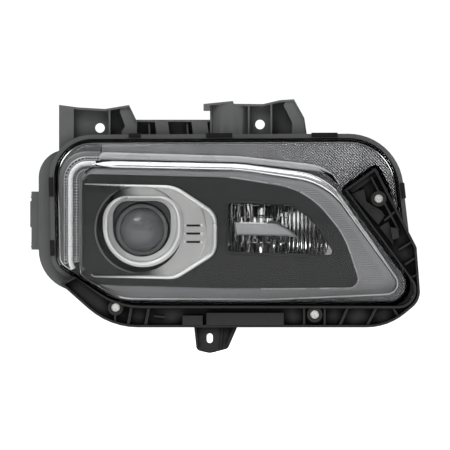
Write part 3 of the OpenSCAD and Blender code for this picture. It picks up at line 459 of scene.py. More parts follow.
def loop(corners, like=None, steps=9, seg=6.0):
    """Points round an outline with rounded corners; outlines that match get the same number of points."""
    like = like or corners
    n = len(corners)
    points = []
    for i in range(n):
        a, b, c = v2(corners[i - 1]), v2(corners[i]), v2(corners[(i + 1) % n])
        r = corners[i][2]
        if like[i][2] < 0.05:
            arc = [b]
        else:
            u, w = (a - b).normalized(), (c - b).normalized()
            half = math.acos(max(-1, min(1, u.dot(w)))) / 2
            centre = b + (u + w).normalized() * r / math.sin(half)
            start = b + u * r / math.tan(half) - centre
            turn = (math.pi - 2 * half) * (-1 if u.x * w.y - u.y * w.x > 0 else 1)
            arc = []
            for k in range(steps + 1):
                t = turn * k / steps
                arc.append(centre + Vector((start.x * math.cos(t) - start.y * math.sin(t),
                                            start.x * math.sin(t) + start.y * math.cos(t))))
        points.append(arc)
    out = []
    for i in range(n):
        out += points[i]
        end, nxt = points[i][-1], points[(i + 1) % n][0]
        span = (v2(like[(i + 1) % n]) - v2(like[i])).length
        m = max(1, int(span / seg))
        for k in range(1, m):
            out.append(end.lerp(nxt, k / m))
    return out


def face_y(x, z):
    """How far forward the lens's face is at x, z."""
    return -REACH + FACE_R - math.sqrt(FACE_R ** 2 - (x - FACE_CENTRE[0]) ** 2 - (z - FACE_CENTRE[1]) ** 2)


SAME_POINT = 0.000004


def make(name, verts, faces, material, body="lamp", angle=35):
    """A new piece from points in millimetres; edges sharper than angle stay crisp."""
    mesh = bpy.data.meshes.new(name)
    mesh.from_pydata([(x * MM, y * MM, z * MM) for x, y, z in verts], [], faces)
    mesh.validate()
    bm = bmesh.new()
    bm.from_mesh(mesh)
    bmesh.ops.remove_doubles(bm, verts=bm.verts, dist=SAME_POINT)
    bmesh.ops.recalc_face_normals(bm, faces=bm.faces)
    bm.to_mesh(mesh)
    bm.free()
    obj = bpy.data.objects.new(name, mesh)
    scene.collection.objects.link(obj)
    mesh.materials.append(material)
    mesh.polygons.foreach_set("use_smooth", [True] * len(mesh.polygons))
    mesh.set_sharp_from_angle(angle=math.radians(angle))
    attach(obj, body)
    return obj


def loft(rings, closed=False, first_cap=False, last_cap=False):
    """Quads between rings of points; every ring has the same number of points and closes on itself."""
    n = len(rings[0])
    verts = [tuple(p) for ring in rings for p in ring]
    faces = []
    count = len(rings)
    for r in range(count if closed else count - 1):
        a, b = r * n, ((r + 1) % count) * n
        for i in range(n):
            j = (i + 1) % n
            faces.append((a + i, a + j, b + j, b + i))
    if first_cap:
        faces.append(tuple(range(n - 1, -1, -1)))
    if last_cap:
        faces.append(tuple((count - 1) * n + i for i in range(n)))
    return verts, faces


def at(points, y):
    """Outline points set at the depth y, a number or a function of x and z."""
    return [(p.x, y(p.x, p.y) if callable(y) else y, p.y) for p in points]


def inside(points, xs, zs):
    """Which of the grid's points lie inside the closed loop."""
    hit = np.zeros(xs.shape, bool)
    n = len(points)
    for i in range(n):
        a, b = points[i], points[(i + 1) % n]
        if a.y == b.y:
            continue
        cross = (a.y > zs) != (b.y > zs)
        hit ^= cross & (xs < (b.x - a.x) * (zs - a.y) / (b.y - a.y) + a.x)
    return hit


def patch(name, want, box, step, depth, material, angle=35):
    """A relief over the grid points that want(xs, zs) accepts, at depth(xs, zs)."""
    x0, x1, z0, z1 = box
    xs, zs = np.meshgrid(np.arange(x0, x1 + step / 2, step), np.arange(z0, z1 + step / 2, step))
    keep = want(xs, zs)
    ys = depth(xs, zs)
    index = -np.ones(xs.shape, int)
    cells = keep[:-1, :-1] & keep[1:, :-1] & keep[:-1, 1:] & keep[1:, 1:]
    used = np.zeros(xs.shape, bool)
    used[:-1, :-1] |= cells
    used[1:, :-1] |= cells
    used[:-1, 1:] |= cells
    used[1:, 1:] |= cells
    index[used] = np.arange(used.sum())
    verts = list(zip(xs[used], ys[used], zs[used]))
    rows, cols = np.nonzero(cells)
    faces = [(int(index[r, c]), int(index[r, c + 1]), int(index[r + 1, c + 1]), int(index[r + 1, c]))
             for r, c in zip(rows, cols)]
    return make(name, verts, faces, material, angle=angle)


def domes(name, places, r, base, material):
    """Small half-round studs standing forward of the depth base."""
    verts, faces = [], []
    sides, rows = 10, 3
    for p in places:
        o = len(verts)
        for k in range(rows):
            t = math.pi / 2 * k / rows
            for q in range(sides):
                u = 2 * math.pi * q / sides
                verts.append((p.x + r * math.cos(t) * math.cos(u), base - r * math.sin(t),
                              p.y + r * math.cos(t) * math.sin(u)))
        verts.append((p.x, base - r, p.y))
        for k in range(rows - 1):
            for q in range(sides):
                w = (q + 1) % sides
                low, high = o + k * sides, o + (k + 1) * sides
                faces.append((low + q, low + w, high + w, high + q))
        last = o + (rows - 1) * sides
        for q in range(sides):
            faces.append((last + q, last + (q + 1) % sides, o + rows * sides))
        faces.append(tuple(o + q for q in reversed(range(sides))))
    return make(name, verts, faces, material, angle=60)


# ---------------------------------------------------------------- clear lens
LENS_BACK = -12
LENS_EDGE_R = 9.0
LENS_MIDDLE = Vector((152, -108))
LENS_WALL = 0.0029
LENS_RINGS = 15
LENS_JOIN = 0.00002
POCKET_FLOOR = -34.0
BEYOND_THE_FACE = -100


def round_profile(edge, count):
    """A quarter round, as pairs of how far in and how far back."""
    return [(-edge * (1 - math.cos(math.pi / 2 * k / count)), edge * (1 - math.sin(math.pi / 2 * k / count)))
            for k in range(count + 1)]


def lens_shell():
    """The lens's outer form: flank, rounded edge, face."""
    rings = [at(loop(LENS), y) for y in (LENS_BACK, -22, -32)]
    for off, rise in round_profile(LENS_EDGE_R, 7):
        rings.append([(p.x, face_y(p.x, p.y) + rise, p.y) for p in loop(grown(LENS, off), LENS)])
    last = [Vector((p[0], p[2])) for p in rings[-1]]
    for k in range(1, LENS_RINGS):
        t = 1 - k / LENS_RINGS
        rings.append(at([LENS_MIDDLE + (p - LENS_MIDDLE) * t for p in last], face_y))
    return rings


def add_lens():
    """The clear lens: the form less the bracket's pocket, opened at the back and given its wall."""
    verts, faces = loft(lens_shell(), first_cap=True, last_cap=True)
    lens = make("lens_form", verts, faces, MAT["lens"])
    cut_loop = loop(POCKET, steps=5)
    cut_v, cut_f = loft([at(cut_loop, BEYOND_THE_FACE), at(cut_loop, POCKET_FLOOR)], first_cap=True,
                        last_cap=True)
    cutter = make("pocket_form", cut_v, cut_f, MAT["lens"])
    cut = lens.modifiers.new("cut", "BOOLEAN")
    cut.operation = "DIFFERENCE"
    cut.solver = "EXACT"
    cut.object = cutter
    graph = bpy.context.evaluated_depsgraph_get()
    mesh = bpy.data.meshes.new_from_object(lens.evaluated_get(graph))
    lens.modifiers.clear()
    lens.data = mesh
    bpy.data.objects.remove(cutter)
    bm = bmesh.new()
    bm.from_mesh(mesh)
    back = [f for f in bm.faces if all(v.co.y > (LENS_BACK - 0.05) * MM for v in f.verts)]
    bmesh.ops.delete(bm, geom=back, context="FACES")
    bmesh.ops.remove_doubles(bm, verts=bm.verts, dist=LENS_JOIN)
    bmesh.ops.recalc_face_normals(bm, faces=bm.faces)
    bm.to_mesh(mesh)
    bm.free()
    mesh.polygons.foreach_set("use_smooth", [True] * len(mesh.polygons))
    mesh.set_sharp_from_angle(angle=math.radians(30))
    thick = lens.modifiers.new("wall", "SOLIDIFY")
    thick.thickness = LENS_WALL
    thick.offset = -1
    lens.name = "clear_lens"
    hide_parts("outer_lens")


add_lens()


# ---------------------------------------------------------------- bands of trim
def sweep(name, pairs, profile, material, angle=55, size=lambda p: 1.0):
    """An open moulding with closed ends, from (inner, outer) points and a profile of (share outward, y)."""
    base = profile[0][1]
    m = len(profile)
    verts, faces = [], []
    for a, b in pairs:
        k = size(a)
        for t, y in profile:
            p = a.lerp(b, 0.5 + (t - 0.5) * k)
            verts.append((p.x, base + (y - base) * (0.4 + 0.6 * k), p.y))
    for i in range(len(pairs) - 1):
        for q in range(m):
            a, b = i * m + q, i * m + (q + 1) % m
            faces.append((a, a + m, b + m, b))
    faces.append(tuple(range(m)))
    faces.append(tuple(reversed(range((len(pairs) - 1) * m, len(pairs) * m))))
    return make(name, verts, faces, material, angle=angle)


def run_of(inner, outer, keep, like=None, steps=14):
    """The pairs of points of two matching outlines that keep accepts, in order round the outline."""
    a = loop(inner, like, steps=steps)
    b = loop(outer, like, steps=steps)
    n = len(a)
    good = [keep(q) for q in b]
    start = next(i for i in range(n) if good[i] and not good[i - 1])
    out = []
    for k in range(n):
        i = (start + k) % n
        if not good[i]:
            break
        out.append((a[i], b[i]))
    return out


# The chrome band runs from x CHROME_START round to z CHROME_END; its thin end begins at x CHROME_TIP
CHROME_START, CHROME_END = -3.0, -163.0
CHROME_TIP = -12.0
CHROME_MID_Z = -120
CHROME_PROFILE = [(0.02, -36), (0.02, -43.2), (0.07, -44.8), (0.16, -45.6), (0.3, -45.9), (0.5, -45.3),
                  (0.68, -44.2), (0.8, -43.0), (0.86, -42.9), (0.93, -43.4), (0.98, -42.6), (0.99, -40.5),
                  (0.99, -36)]
TIP_PROFILE = [(0.1, -41.6), (0.12, -43.2), (0.3, -44.8), (0.5, -45.0), (0.7, -44.4), (0.88, -43.0),
               (0.9, -41.6)]
LOWER_EDGE_PROFILE = [(0.1, -44.0), (0.1, -45.8), (0.24, -46.5), (0.5, -46.6), (0.7, -45.9), (0.84, -44.8),
                      (0.84, -43.0)]
CHROME_RIDGES = (("chrome_ridge_inner", 0.08, 0.36), ("chrome_ridge_outer", 0.54, 0.8))


def chrome_size(p):
    """The band is full over most of its run and thins towards both ends."""
    if p.y < CHROME_MID_Z:
        return max(0.25, min(1.0, (p.x + 14) / 26))
    return max(0.05, min(1.0, (p.x - CHROME_TIP) / 27))


def chrome_run(keep):
    return run_of(CHROME_IN, CHROME_OUT, keep)


def chrome_pieces():
    """The chrome band, its thin upper end, the bead on its lower run and two ridges on its slanting run."""
    tip = chrome_run(lambda q: CHROME_TIP < q.x < CHROME_START + 1.5 and q.y > -60)
    sweep("chrome_tip", tip, TIP_PROFILE, MAT["chrome"], angle=60, size=chrome_size)
    full = chrome_run(lambda q: q.x > CHROME_START or q.y < CHROME_END)
    band = sweep("chrome_band", full, CHROME_PROFILE, MAT["chrome"], angle=60,
                 size=chrome_size)
    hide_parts("chrome_frame")
    lower = chrome_run(lambda q: q.y < -185 and 26 < q.x < 345)
    sweep("chrome_lower_edge", lower, LOWER_EDGE_PROFILE, MAT["crest"], angle=60)
    slant = chrome_run(lambda q: q.x > 262 and -186 < q.y < -68)
    for name, low, high in CHROME_RIDGES:
        third = (high - low) / 3
        profile = [(low, -43.0), (low, -45.4), (low + third, -46.4), (high - third, -46.3), (high, -45.0),
                   (high, -42.5)]
        sweep(name, slant, profile, MAT["crest"], angle=60)


chrome_pieces()

SATIN_PROFILE = [(0.0, -36.5), (0.0, -38.4), (0.04, -38.9), (0.12, -39.2), (0.4, -38.9), (0.7, -39.3),
                 (0.9, -40.6), (0.97, -40.9), (0.985, -40.4), (0.985, -36.5)]
SATIN_RIB_PITCH = 2.5
SATIN_RIB_RISE = 0.9
SATIN_RIB_FOOT = -39.1


def satin_pieces():
    """The satin band and the fine cross ribs on its wide right part."""
    run = run_of(SATIN_IN, SATIN_OUT, lambda q: not (q.x < -2.2 and q.y < -52), like=SATIN_IN)
    band = sweep("satin_band", run, SATIN_PROFILE, MAT["satin"], angle=50)
    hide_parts("satin_trim")
    outer = loop(mixed(SATIN_IN, SATIN_OUT, 0.86), SATIN_IN, steps=14)
    inner = loop(mixed(SATIN_IN, SATIN_OUT, 0.14), SATIN_IN, steps=14)

    def want(x, z):
        return inside(outer, x, z) & ~inside(inner, x, z) & (z > -181) & (x > 232)

    def depth(x, z):
        return SATIN_RIB_FOOT - SATIN_RIB_RISE * np.abs((z / SATIN_RIB_PITCH) % 1 - 0.5)

    patch("satin_ribs", want, (230, 345, -190, -60), 0.6, depth, MAT["satin"], angle=180)


satin_pieces()

LIP_X, LIP_TOP, LIP_LOW = -20.4, -62.0, -158.0
LIP_FOOT, LIP_RISE, LIP_SHARE = -37.8, 2.6, 1.45
LIP_TOP_R, LIP_LOW_R = 8.0, 7.0


def bezel_lip():
    """The soft rounded edge along the dark bezel's left side, beside the light guide's teeth."""
    pts = [Vector((LIP_X + LIP_TOP_R * (1 - math.cos(t)), LIP_TOP + LIP_TOP_R * math.sin(t))) for t in
           [math.radians(70 - 10 * k) for k in range(7)]]
    pts += [Vector((LIP_X, LIP_TOP - (LIP_TOP - LIP_LOW) * k / 30)) for k in range(31)]
    pts += [Vector((LIP_X + LIP_LOW_R * (1 - math.cos(t)), LIP_LOW - LIP_LOW_R * math.sin(t))) for t in
            [math.radians(8 * k) for k in range(1, 7)]]
    profile = [(0.5 + LIP_SHARE * math.cos(t), LIP_FOOT - LIP_RISE * math.sin(t)) for t in
               [math.pi * k / 12 for k in range(13)]]
    # Pale lip colour: painted highlight on the rounded edge.
    sweep("bezel_lip", both_sides(pts, lambda i: 1.0), profile, MAT["lip"], angle=60)


bezel_lip()

FUNNEL_LIP_HALF = 1.2
FUNNEL_LIP_FOOT, FUNNEL_LIP_RISE = -37.6, 1.5
FUNNEL_LIP_POINTS = 61


def funnel_lip():
    """The rounded edge round the left half of the round opening in the dark bezel, thin at both ends."""
    pts = [Vector(FUNNEL) + (FUNNEL_R + FUNNEL_LIP_HALF) * Vector((math.cos(t), math.sin(t))) for t in
           [math.radians(118 + 2.5 * k) for k in range(FUNNEL_LIP_POINTS)]]

    def reach(i):
        return FUNNEL_LIP_HALF * min(1.0, 0.15 + min(i, FUNNEL_LIP_POINTS - 1 - i) / 8)

    profile = [(0.5 - 0.5 * math.cos(t), FUNNEL_LIP_FOOT - FUNNEL_LIP_RISE * math.sin(t)) for t in
               [math.pi * k / 8 for k in range(9)]]
    # Pale lip colour: painted highlight on the rounded edge.
    sweep("funnel_lip", both_sides(pts, reach), profile, MAT["lip"], angle=60)


funnel_lip()

# How far outward (negative is inward) and the depth, from the strip's back to its rounded front
STRIP_LAYERS = ((0.0, -36.0), (0.0, -39.6), (-0.25, -40.4), (-0.8, -41.1), (-1.6, -41.6), (-2.4, -41.85))


def strip_piece():
    """The milky strip above the chrome band, with a rounded front."""
    rings = [at(loop(grown(STRIP, off), STRIP, steps=8, seg=4), y) for off, y in STRIP_LAYERS]
    verts, faces = loft(rings, first_cap=True, last_cap=True)
    obj = make("milky_strip", verts, faces, MAT["milky"], angle=60)
    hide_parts("diffuser_strip")


strip_piece()

HATCH_PITCH = 3.4
HATCH_DEPTH = 1.5
PANEL_FACE = -34.9
lens_in = loop(grown(LENS, -4.6))


def upper_panel():
    """The plated panel under the lens's upper part, with a crosshatch of small pyramids."""
    chrome_mid = loop(mixed(CHROME_IN, CHROME_OUT, 0.6))
    pocket_out = loop(grown(POCKET, 3.6), steps=5)

    def want(x, z):
        return inside(lens_in, x, z) & ~inside(chrome_mid, x, z) & ~inside(pocket_out, x, z) & (x > 2)

    def depth(x, z):
        rising = np.abs(((x + z) / HATCH_PITCH) % 1 - 0.5)
        falling = np.abs(((x - z) / HATCH_PITCH) % 1 - 0.5)
        return PANEL_FACE - HATCH_DEPTH * np.minimum(rising, falling) * 2

    panel = patch("hatched_panel", want, (2, 356, -206, -14), 0.43, depth, MAT["panel"],
                  angle=180)
    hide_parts("upper_panel")


upper_panel()


# ---------------------------------------------------------------- projector shroud
def squared_loop(centre, r, top, corner, n=160):
    """The ring's form: the lower half of a circle with a flat, round-cornered top."""
    cx, cz = r - corner, top - corner
    out = []
    for k in range(n):
        t = 2 * math.pi * k / n
        ux, uz = math.cos(t), math.sin(t)
        d = r
        if uz > 0:
            if abs(ux) > 1e-6 and r / abs(ux) * uz <= cz:
                d = r / abs(ux)
            elif top / uz * abs(ux) <= cx:
                d = top / uz
            else:
                dot = abs(ux) * cx + uz * cz
                d = dot + math.sqrt(max(0.0, dot * dot - cx * cx - cz * cz + corner * corner))
        out.append(Vector((centre[0] + d * ux, centre[1] + d * uz)))
    return out


SKIRT_R = 31.6
# Shares of the way from the ring's outer edge to the opening, and depths
RING_PROFILE = [(0.0, -38.5), (0.0, -44.5), (0.03, -46.2), (0.08, -47.0), (0.15, -47.2), (0.5, -46.6),
                (0.56, -46.2), (0.74, -44.2), (0.9, -42.7), (0.97, -42.0), (1.0, -41.0), (1.0, -38.5)]
CREST_PROFILE = [(0.1, -46.4), (0.14, -48.0), (0.22, -49.3), (0.32, -49.9), (0.42, -49.6), (0.5, -48.4),
                 (0.56, -46.6), (0.5, -46.0), (0.2, -46.0)]
SKIRT_PROFILE = [(0.0, -39.0), (0.1, -38.2), (0.6, -37.4), (1.0, -37.0), (1.0, -36.0), (0.0, -37.0)]


def between(outer, inner, profile):
    """Rings of points part of the way from one loop to another."""
    return [[(a.x * (1 - t) + b.x * t, y, a.y * (1 - t) + b.y * t) for a, b in zip(outer, inner)]
            for t, y in profile]


def shroud_ring():
    """The ring round the projector's opening, the bright crest on it and the dark wall inside it."""
    outer = squared_loop(RING, RING_R, RING_TOP, RING_CORNER)
    inner = squared_loop(APERTURE, APERTURE_R, APERTURE_TOP, APERTURE_CORNER)
    verts, faces = loft(between(outer, inner, RING_PROFILE), closed=True)
    ring = make("shroud_ring", verts, faces, MAT["ring"], angle=60)
    verts, faces = loft(between(outer, inner, CREST_PROFILE), closed=True)
    make("shroud_ring_crest", verts, faces, MAT["crest"], angle=60)
    skirt = squared_loop(OPTIC, SKIRT_R, SKIRT_R, SKIRT_R)
    verts, faces = loft(between(inner, skirt, SKIRT_PROFILE), closed=True)
    make("aperture_skirt", verts, faces, MAT["skirt"], angle=60)
    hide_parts("projector_shroud")


shroud_ring()


RIM_PROFILE = [(1.0, -38.5), (1.0, -42.6), (0.95, -44.4), (0.78, -45.9), (0.55, -46.4), (0.3, -46.0),
               (0.1, -44.9), (0.0, -43.8), (0.0, -38.5)]
RIM_THIN, RIM_GAIN = 1.3, 3.9


def pod_rim():
    """The bright edge along the top, right and bottom of the silver plate, thin at its left ends."""
    pairs = []
    for a, b in run_of(grown(POD, -1.0), POD, lambda q: not (q.x < -9 and -168 < q.y < -66), like=POD):
        wide = RIM_THIN + RIM_GAIN * max(0.0, min(1.0, (b.x + 12) / 110))
        pairs.append((b + (a - b) * wide, b))
    sweep("pod_rim", pairs, RIM_PROFILE, MAT["crest"], angle=60)


pod_rim()

SLOTS = (-112.0, -121.5, -131.0)
SLOT_ENDS = (100.0, 115.0)
SLOT_HALF = 1.0
PLATE_FRONT = -43.4
PLATE_CENTRE = (60.0, -118.0)
PLATE_FLAT_R = 60.0
PLATE_CROWN = 0.00045
PLATE_STEP_R = 61.5
PLATE_STEP = 0.6
PLATE_SINK = 1.3
GROOVE_HALF, GROOVE_DEPTH = 0.7, 1.2
SINK_FLOOR = -108
TURN_BACK_X, TURN_BACK = 44, 0.012


def pod_plate():
    """The silver plate from the rim to the ring, slightly crowned, with three slots and a curved step."""
    inner = loop(grown(POD, -2.4), POD, steps=12, seg=4)
    hole = squared_loop(RING, RING_R - 1.0, RING_TOP - 1.0, RING_CORNER)

    def want(x, z):
        out = np.hypot(x - FUNNEL[0], z - FUNNEL[1]) > FUNNEL_R
        upper = (z > -104) & ~out & (x > 15)
        cut = np.zeros(x.shape, bool)
        for g in SLOTS:
            cut |= (np.abs(z - g) < SLOT_HALF) & (x > SLOT_ENDS[0]) & (x < SLOT_ENDS[1])
        start = np.where(z > PLATE_CENTRE[1], 15, 40)
        return inside(inner, x, z) & ~inside(hole, x, z) & ~cut & ((out & (x > start)) | upper | (x > 91.5))

    def depth(x, z):
        far = np.hypot(x - PLATE_CENTRE[0], z - PLATE_CENTRE[1])
        y = PLATE_FRONT + PLATE_CROWN * (far - PLATE_FLAT_R) ** 2
        circle = np.hypot(x - FUNNEL[0], z - FUNNEL[1]) - FUNNEL_R
        y = y + PLATE_SINK * np.clip((0.4 - circle) / 1.2, 0, 1) * (z > SINK_FLOOR)
        y = np.where((np.abs(circle) < GROOVE_HALF) & (z > SINK_FLOOR), y + GROOVE_DEPTH, y)
        step = np.clip((far - PLATE_STEP_R) / 1.2, 0, 1) * (x > 100)
        return y + PLATE_STEP * step + TURN_BACK * np.clip(TURN_BACK_X - x, 0, None) ** 2

    patch("pod_plate", want, (12, 134, -175, -64), 0.4, depth, MAT["plate"],
          angle=180)
    domes("slot_studs", [Vector((SLOT_ENDS[1] + 2.0, g)) for g in SLOTS], 2.1, -42.7, MAT["crest"])
    domes("slot_dots", [Vector((SLOT_ENDS[0] - 2.4, g)) for g in SLOTS], 1.3, -43.0, MAT["crest"])


pod_plate()


# ---------------------------------------------------------------- turn signal
FLUTE = 4.4
DISH_HOLE_R = 10.4
FACET_ROWS = (-100.0, -117.0, -131.0)
WIDE_FLUTES_END, FACETS_END = 212, 216
DISH_FLOOR = 15.0
DISH_BOWL = 86.0
FLUTE_RISE, FLUTE_TILT = 1.5, 0.9
FACET_SLOPE, FACET_HEIGHT = 0.13, 14
DISH_FRONT = -34.5
WALL_LAYERS = ((1.9, -34.0), (0.6, -37.9), (0.4, -37.4), (0.7, -10))
SURROUND_LAYERS = ((3.6, -37.9), (3.0, -38.7), (2.2, -39.0), (1.4, -38.8), (0.8, -38.2), (0.3, -37.2),
                   (0.3, -33.5), (3.6, -36.0))


def turn_dish():
    """The turn signal's fluted and faceted dish, the wall of its window and the soft edge round it."""
    grown_window = loop(grown(WINDOW, 3.5))

    def depth(x, z):
        u = x - TURN[0]
        w = z - TURN[1]
        y = DISH_FLOOR - (u * u + w * w) / DISH_BOWL
        pitch = np.where(x < WIDE_FLUTES_END, 1.6 * FLUTE, FLUTE)
        count = np.floor(x / pitch)
        across = (x / pitch) % 1 - 0.5
        tilt = np.sin(count * 12.9898) * FLUTE_TILT
        y = y - FLUTE_RISE * (1 - (2 * across) ** 2) + tilt * across
        row = np.zeros(x.shape)
        for edge in FACET_ROWS:
            row = row + (z < edge + 3.0 * np.sin(count * 4.1))
        slope = np.sin(row * 5.3 + count * 2.7) * FACET_SLOPE
        y = np.where(x < FACETS_END, y + slope * (w % FACET_HEIGHT - FACET_HEIGHT / 2), y)
        return np.maximum(y, DISH_FRONT)

    def want(x, z):
        return inside(grown_window, x, z) & (np.hypot(x - TURN[0], z - TURN[1]) > DISH_HOLE_R)

    dish = patch("turn_dish", want, (143, 275, -150, -82), 0.55, depth, MAT["dish"],
                 angle=40)
    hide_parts("turn_reflector")
    verts, faces = loft([at(loop(grown(WINDOW, off), WINDOW), y) for off, y in WALL_LAYERS])
    make("turn_wall", verts, faces, MAT["bezel"], angle=40)
    verts, faces = loft([at(loop(grown(WINDOW, off), WINDOW), y) for off, y in SURROUND_LAYERS], closed=True)
    make("turn_surround", verts, faces, MAT["bezel"], angle=60)


turn_dish()


BAR_LAYERS = ((0.0, -31.2), (0.0, -35.2), (-0.3, -36.0), (-1.5, -37.4), (-1.8, -37.6), (-2.1, -37.5))
BAR_EDGE_PROFILE = [(0.0, -36.6), (0.0, -37.9), (0.3, -38.5), (0.7, -38.4), (1.0, -37.4), (1.0, -35.6)]


def turn_bar():
    """The bar across the turn signal's window: a flat face with wide chamfers, pointed at its right end."""
    rings = [at(loop(grown(BAR, off), BAR, steps=6, seg=5), y) for off, y in BAR_LAYERS]
    verts, faces = loft(rings, first_cap=True, last_cap=True)
    bar = make("turn_bar", verts, faces, MAT["bar"], angle=14)
    # The bright crest metal runs along the bar's top edge only: the raised edge is real, its bright colour
    # is a painted highlight where the top catches the light from above.
    top = run_of(grown(BAR, -1.5), BAR, lambda q: q.x > 155 and q.y > -109.2 - 0.6 * max(0, q.x - 200),
                 like=BAR, steps=6)
    sweep("turn_bar_top_highlight", top, BAR_EDGE_PROFILE, MAT["crest"], angle=60)
    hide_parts("turn_bulb_shield")


turn_bar()


# ---------------------------------------------------------------- light guide and its tray
GUIDE_X, GUIDE_Y, GUIDE_R, GUIDE_BEND = -33.3, -38.0, 3.2, 19.0
GUIDE_TOP, GUIDE_LOW = -60, -150
GUIDE_FOOT_R, GUIDE_FOOT_TURN = 24, 30
GUIDE_STEP = 0.65
TOOTH = 3.3


def guide_path():
    """The light guide's middle line: a bent foot, a straight rise, a quarter bend, a short run right."""
    pts = []
    for k in range(8):
        t = math.radians(180 + GUIDE_FOOT_TURN * (1 - k / 7))
        pts.append(Vector((GUIDE_X + GUIDE_FOOT_R * (1 + math.cos(t)),
                           GUIDE_LOW + GUIDE_FOOT_R * math.sin(t))))
    z = GUIDE_LOW + GUIDE_STEP
    while z < GUIDE_TOP:
        pts.append(Vector((GUIDE_X, z)))
        z += GUIDE_STEP
    hub = Vector((GUIDE_X + GUIDE_BEND, GUIDE_TOP))
    for k in range(37):
        t = math.radians(180 - 90 * k / 36)
        pts.append(hub + GUIDE_BEND * Vector((math.cos(t), math.sin(t))))
    pts += [hub + Vector((k * GUIDE_STEP, GUIDE_BEND)) for k in range(1, 16)]
    return pts


def along(points, section, wave):
    """Sweeps a section, (across, y) points, along a path; wave(distance run) scales it."""
    verts, faces = [], []
    n, m = len(points), len(section)
    run = 0.0
    for i, p in enumerate(points):
        if i:
            run += (p - points[i - 1]).length
        side = side_of(points, i)
        for s in section:
            k = wave(run)
            verts.append((p.x + side.x * s[0] * k, GUIDE_Y + s[1] * k, p.y + side.y * s[0] * k))
    for i in range(n - 1):
        for s in range(m):
            a, b = i * m + s, i * m + (s + 1) % m
            faces.append((a, b, b + m, a + m))
    faces.append(tuple(range(m)))
    faces.append(tuple(reversed(range((n - 1) * m, n * m))))
    return verts, faces


def light_guide():
    """The bright rod, with a shallow notch at every tooth."""
    section = [(GUIDE_R * math.cos(t), GUIDE_R * math.sin(t))
               for t in [2 * math.pi * k / 20 for k in range(20)]]

    def notch(run):
        return 0.985 - 0.13 * (1 if (run % TOOTH) < 0.3 * TOOTH else 0)

    verts, faces = along(guide_path(), section, notch)
    guide = make("notched_guide", verts, faces, MAT["guide"], angle=50)
    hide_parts("light_guide")


light_guide()


COLUMNS = 12
HOLES = {"tray_outer": (3, 4, 5, 6, 7, 8), "tray_inner": (1, 2, 3, 4, 7, 8, 9, 10), "tray_rail": ()}
# Name, near and far side of the guide's middle line, material
LATTICES = (("tray_outer", 3.6, 7.8, "tray"), ("tray_inner", -3.5, -10.2, "tray"),
            ("tray_rail", 8.4, 13.6, "rail"))
TRAY_FACE, TRAY_CROWN, TRAY_WALL = -36.4, 0.7, 1.2
WEB = 0.36


def tray():
    """Lattices beside the guide that follow its bend: square openings in rows, with the dark tray behind."""
    base = guide_path()[4:]
    base += [base[-1] + Vector((GUIDE_STEP * k, 0)) for k in range(1, 10)]
    fine = []
    for i in range(len(base) - 1):
        fine += [base[i], base[i].lerp(base[i + 1], 0.5)]
    for name, inner, outer, look in LATTICES:
        verts, faces = [], []
        run = 0.0
        runs = []
        for i, p in enumerate(fine):
            if i:
                run += (p - fine[i - 1]).length
            runs.append(run)
            side = side_of(fine, i)
            for k in range(COLUMNS + 1):
                off = inner + (outer - inner) * k / COLUMNS
                crown = TRAY_CROWN * math.sin(math.pi * k / COLUMNS)
                verts.append((p.x + side.x * off, TRAY_FACE - crown, p.y + side.y * off))
        for i in range(len(fine) - 1):
            for k in range(COLUMNS):
                if k in HOLES[name] and (runs[i] % TOOTH) > WEB * TOOTH:
                    continue
                a = i * (COLUMNS + 1) + k
                faces.append((a, a + 1, a + COLUMNS + 2, a + COLUMNS + 1))
        lattice = make(name, verts, faces, MAT[look], angle=60)
        thick = lattice.modifiers.new("wall", "SOLIDIFY")
        thick.thickness = TRAY_WALL * MM
        thick.offset = 0.0


tray()


# ---------------------------------------------------------------- studs along the satin band's inner edge
BEAD_PITCH, BEAD_R, BEAD_FOOT = 2.6, 0.75, -39.0


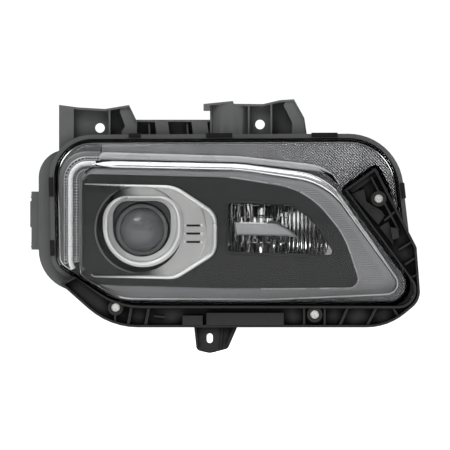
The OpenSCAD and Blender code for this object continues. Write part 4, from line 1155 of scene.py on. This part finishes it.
def beads():
    """Studs at an even pitch, on the right part of the edge only."""
    path = loop(grown(SATIN_IN, 1.2), SATIN_IN, steps=30, seg=2.0)
    places = []
    carry = 0.0
    for i, a in enumerate(path):
        b = path[(i + 1) % len(path)]
        span = (b - a).length
        while carry < span:
            places.append(a.lerp(b, carry / span))
            carry += BEAD_PITCH
        carry -= span
    places = [p for p in places if p.x > 150 and not (p.y < -150 and p.x < 185)]
    domes("edge_beads", places, BEAD_R, BEAD_FOOT, MAT["polished"])


beads()

# ---------------------------------------------------------------- corner of the tray, lined like the panel
CORNER_LINE, CORNER_LINE_DEPTH, CORNER_FACE = 2.2, 1.6, -34.4
CORNER_MEAN_R = 32.0


def tray_corner():
    """Lines that fan round the guide's bend, between the tray and the lens's edge."""
    hub = Vector((GUIDE_X + GUIDE_BEND, GUIDE_TOP))

    def want(x, z):
        far = np.hypot(x - hub.x, z - hub.y)
        side = np.where(z > hub.y, np.where(x > hub.x, z - hub.y, far), GUIDE_BEND + 14)
        return inside(lens_in, x, z) & (side > GUIDE_BEND + 8.2) & (x < 2.4) & (z > hub.y)

    def depth(x, z):
        turn = np.arctan2(z - hub.y, x - hub.x)
        line = np.where(x > hub.x, x, turn * CORNER_MEAN_R) / CORNER_LINE
        return CORNER_FACE - CORNER_LINE_DEPTH * 2 * np.abs(line % 1 - 0.5)

    patch("tray_corner", want, (-50, 3, -62, -14), 0.5, depth, MAT["panel"], angle=180)


tray_corner()

# ---------------------------------------------------------------- floor
FLOOR_SIZE = 60.0
FLOOR_GLOW = 0.6
floor_z = cad_box[0][2] - 0.004
floor_mesh = bpy.data.meshes.new("floor")
floor_mesh.from_pydata([(-FLOOR_SIZE, -FLOOR_SIZE, floor_z), (FLOOR_SIZE, -FLOOR_SIZE, floor_z),
                        (FLOOR_SIZE, FLOOR_SIZE, floor_z), (-FLOOR_SIZE, FLOOR_SIZE, floor_z)], [],
                       [(0, 1, 2, 3)])
floor = bpy.data.objects.new("floor", floor_mesh)
scene.collection.objects.link(floor)
floor_mat = grained("pale_floor", (0.9, 0.9, 0.9), 0.9, grain=60, depth=0.0002, spread=0.01, specular=0.1,
                    patches=2)
floor_bsdf = floor_mat.node_tree.nodes["Principled BSDF"]
floor_bsdf.inputs["Emission Color"].default_value = (1, 1, 1, 1)
floor_bsdf.inputs["Emission Strength"].default_value = FLOOR_GLOW
floor_mesh.materials.append(floor_mat)
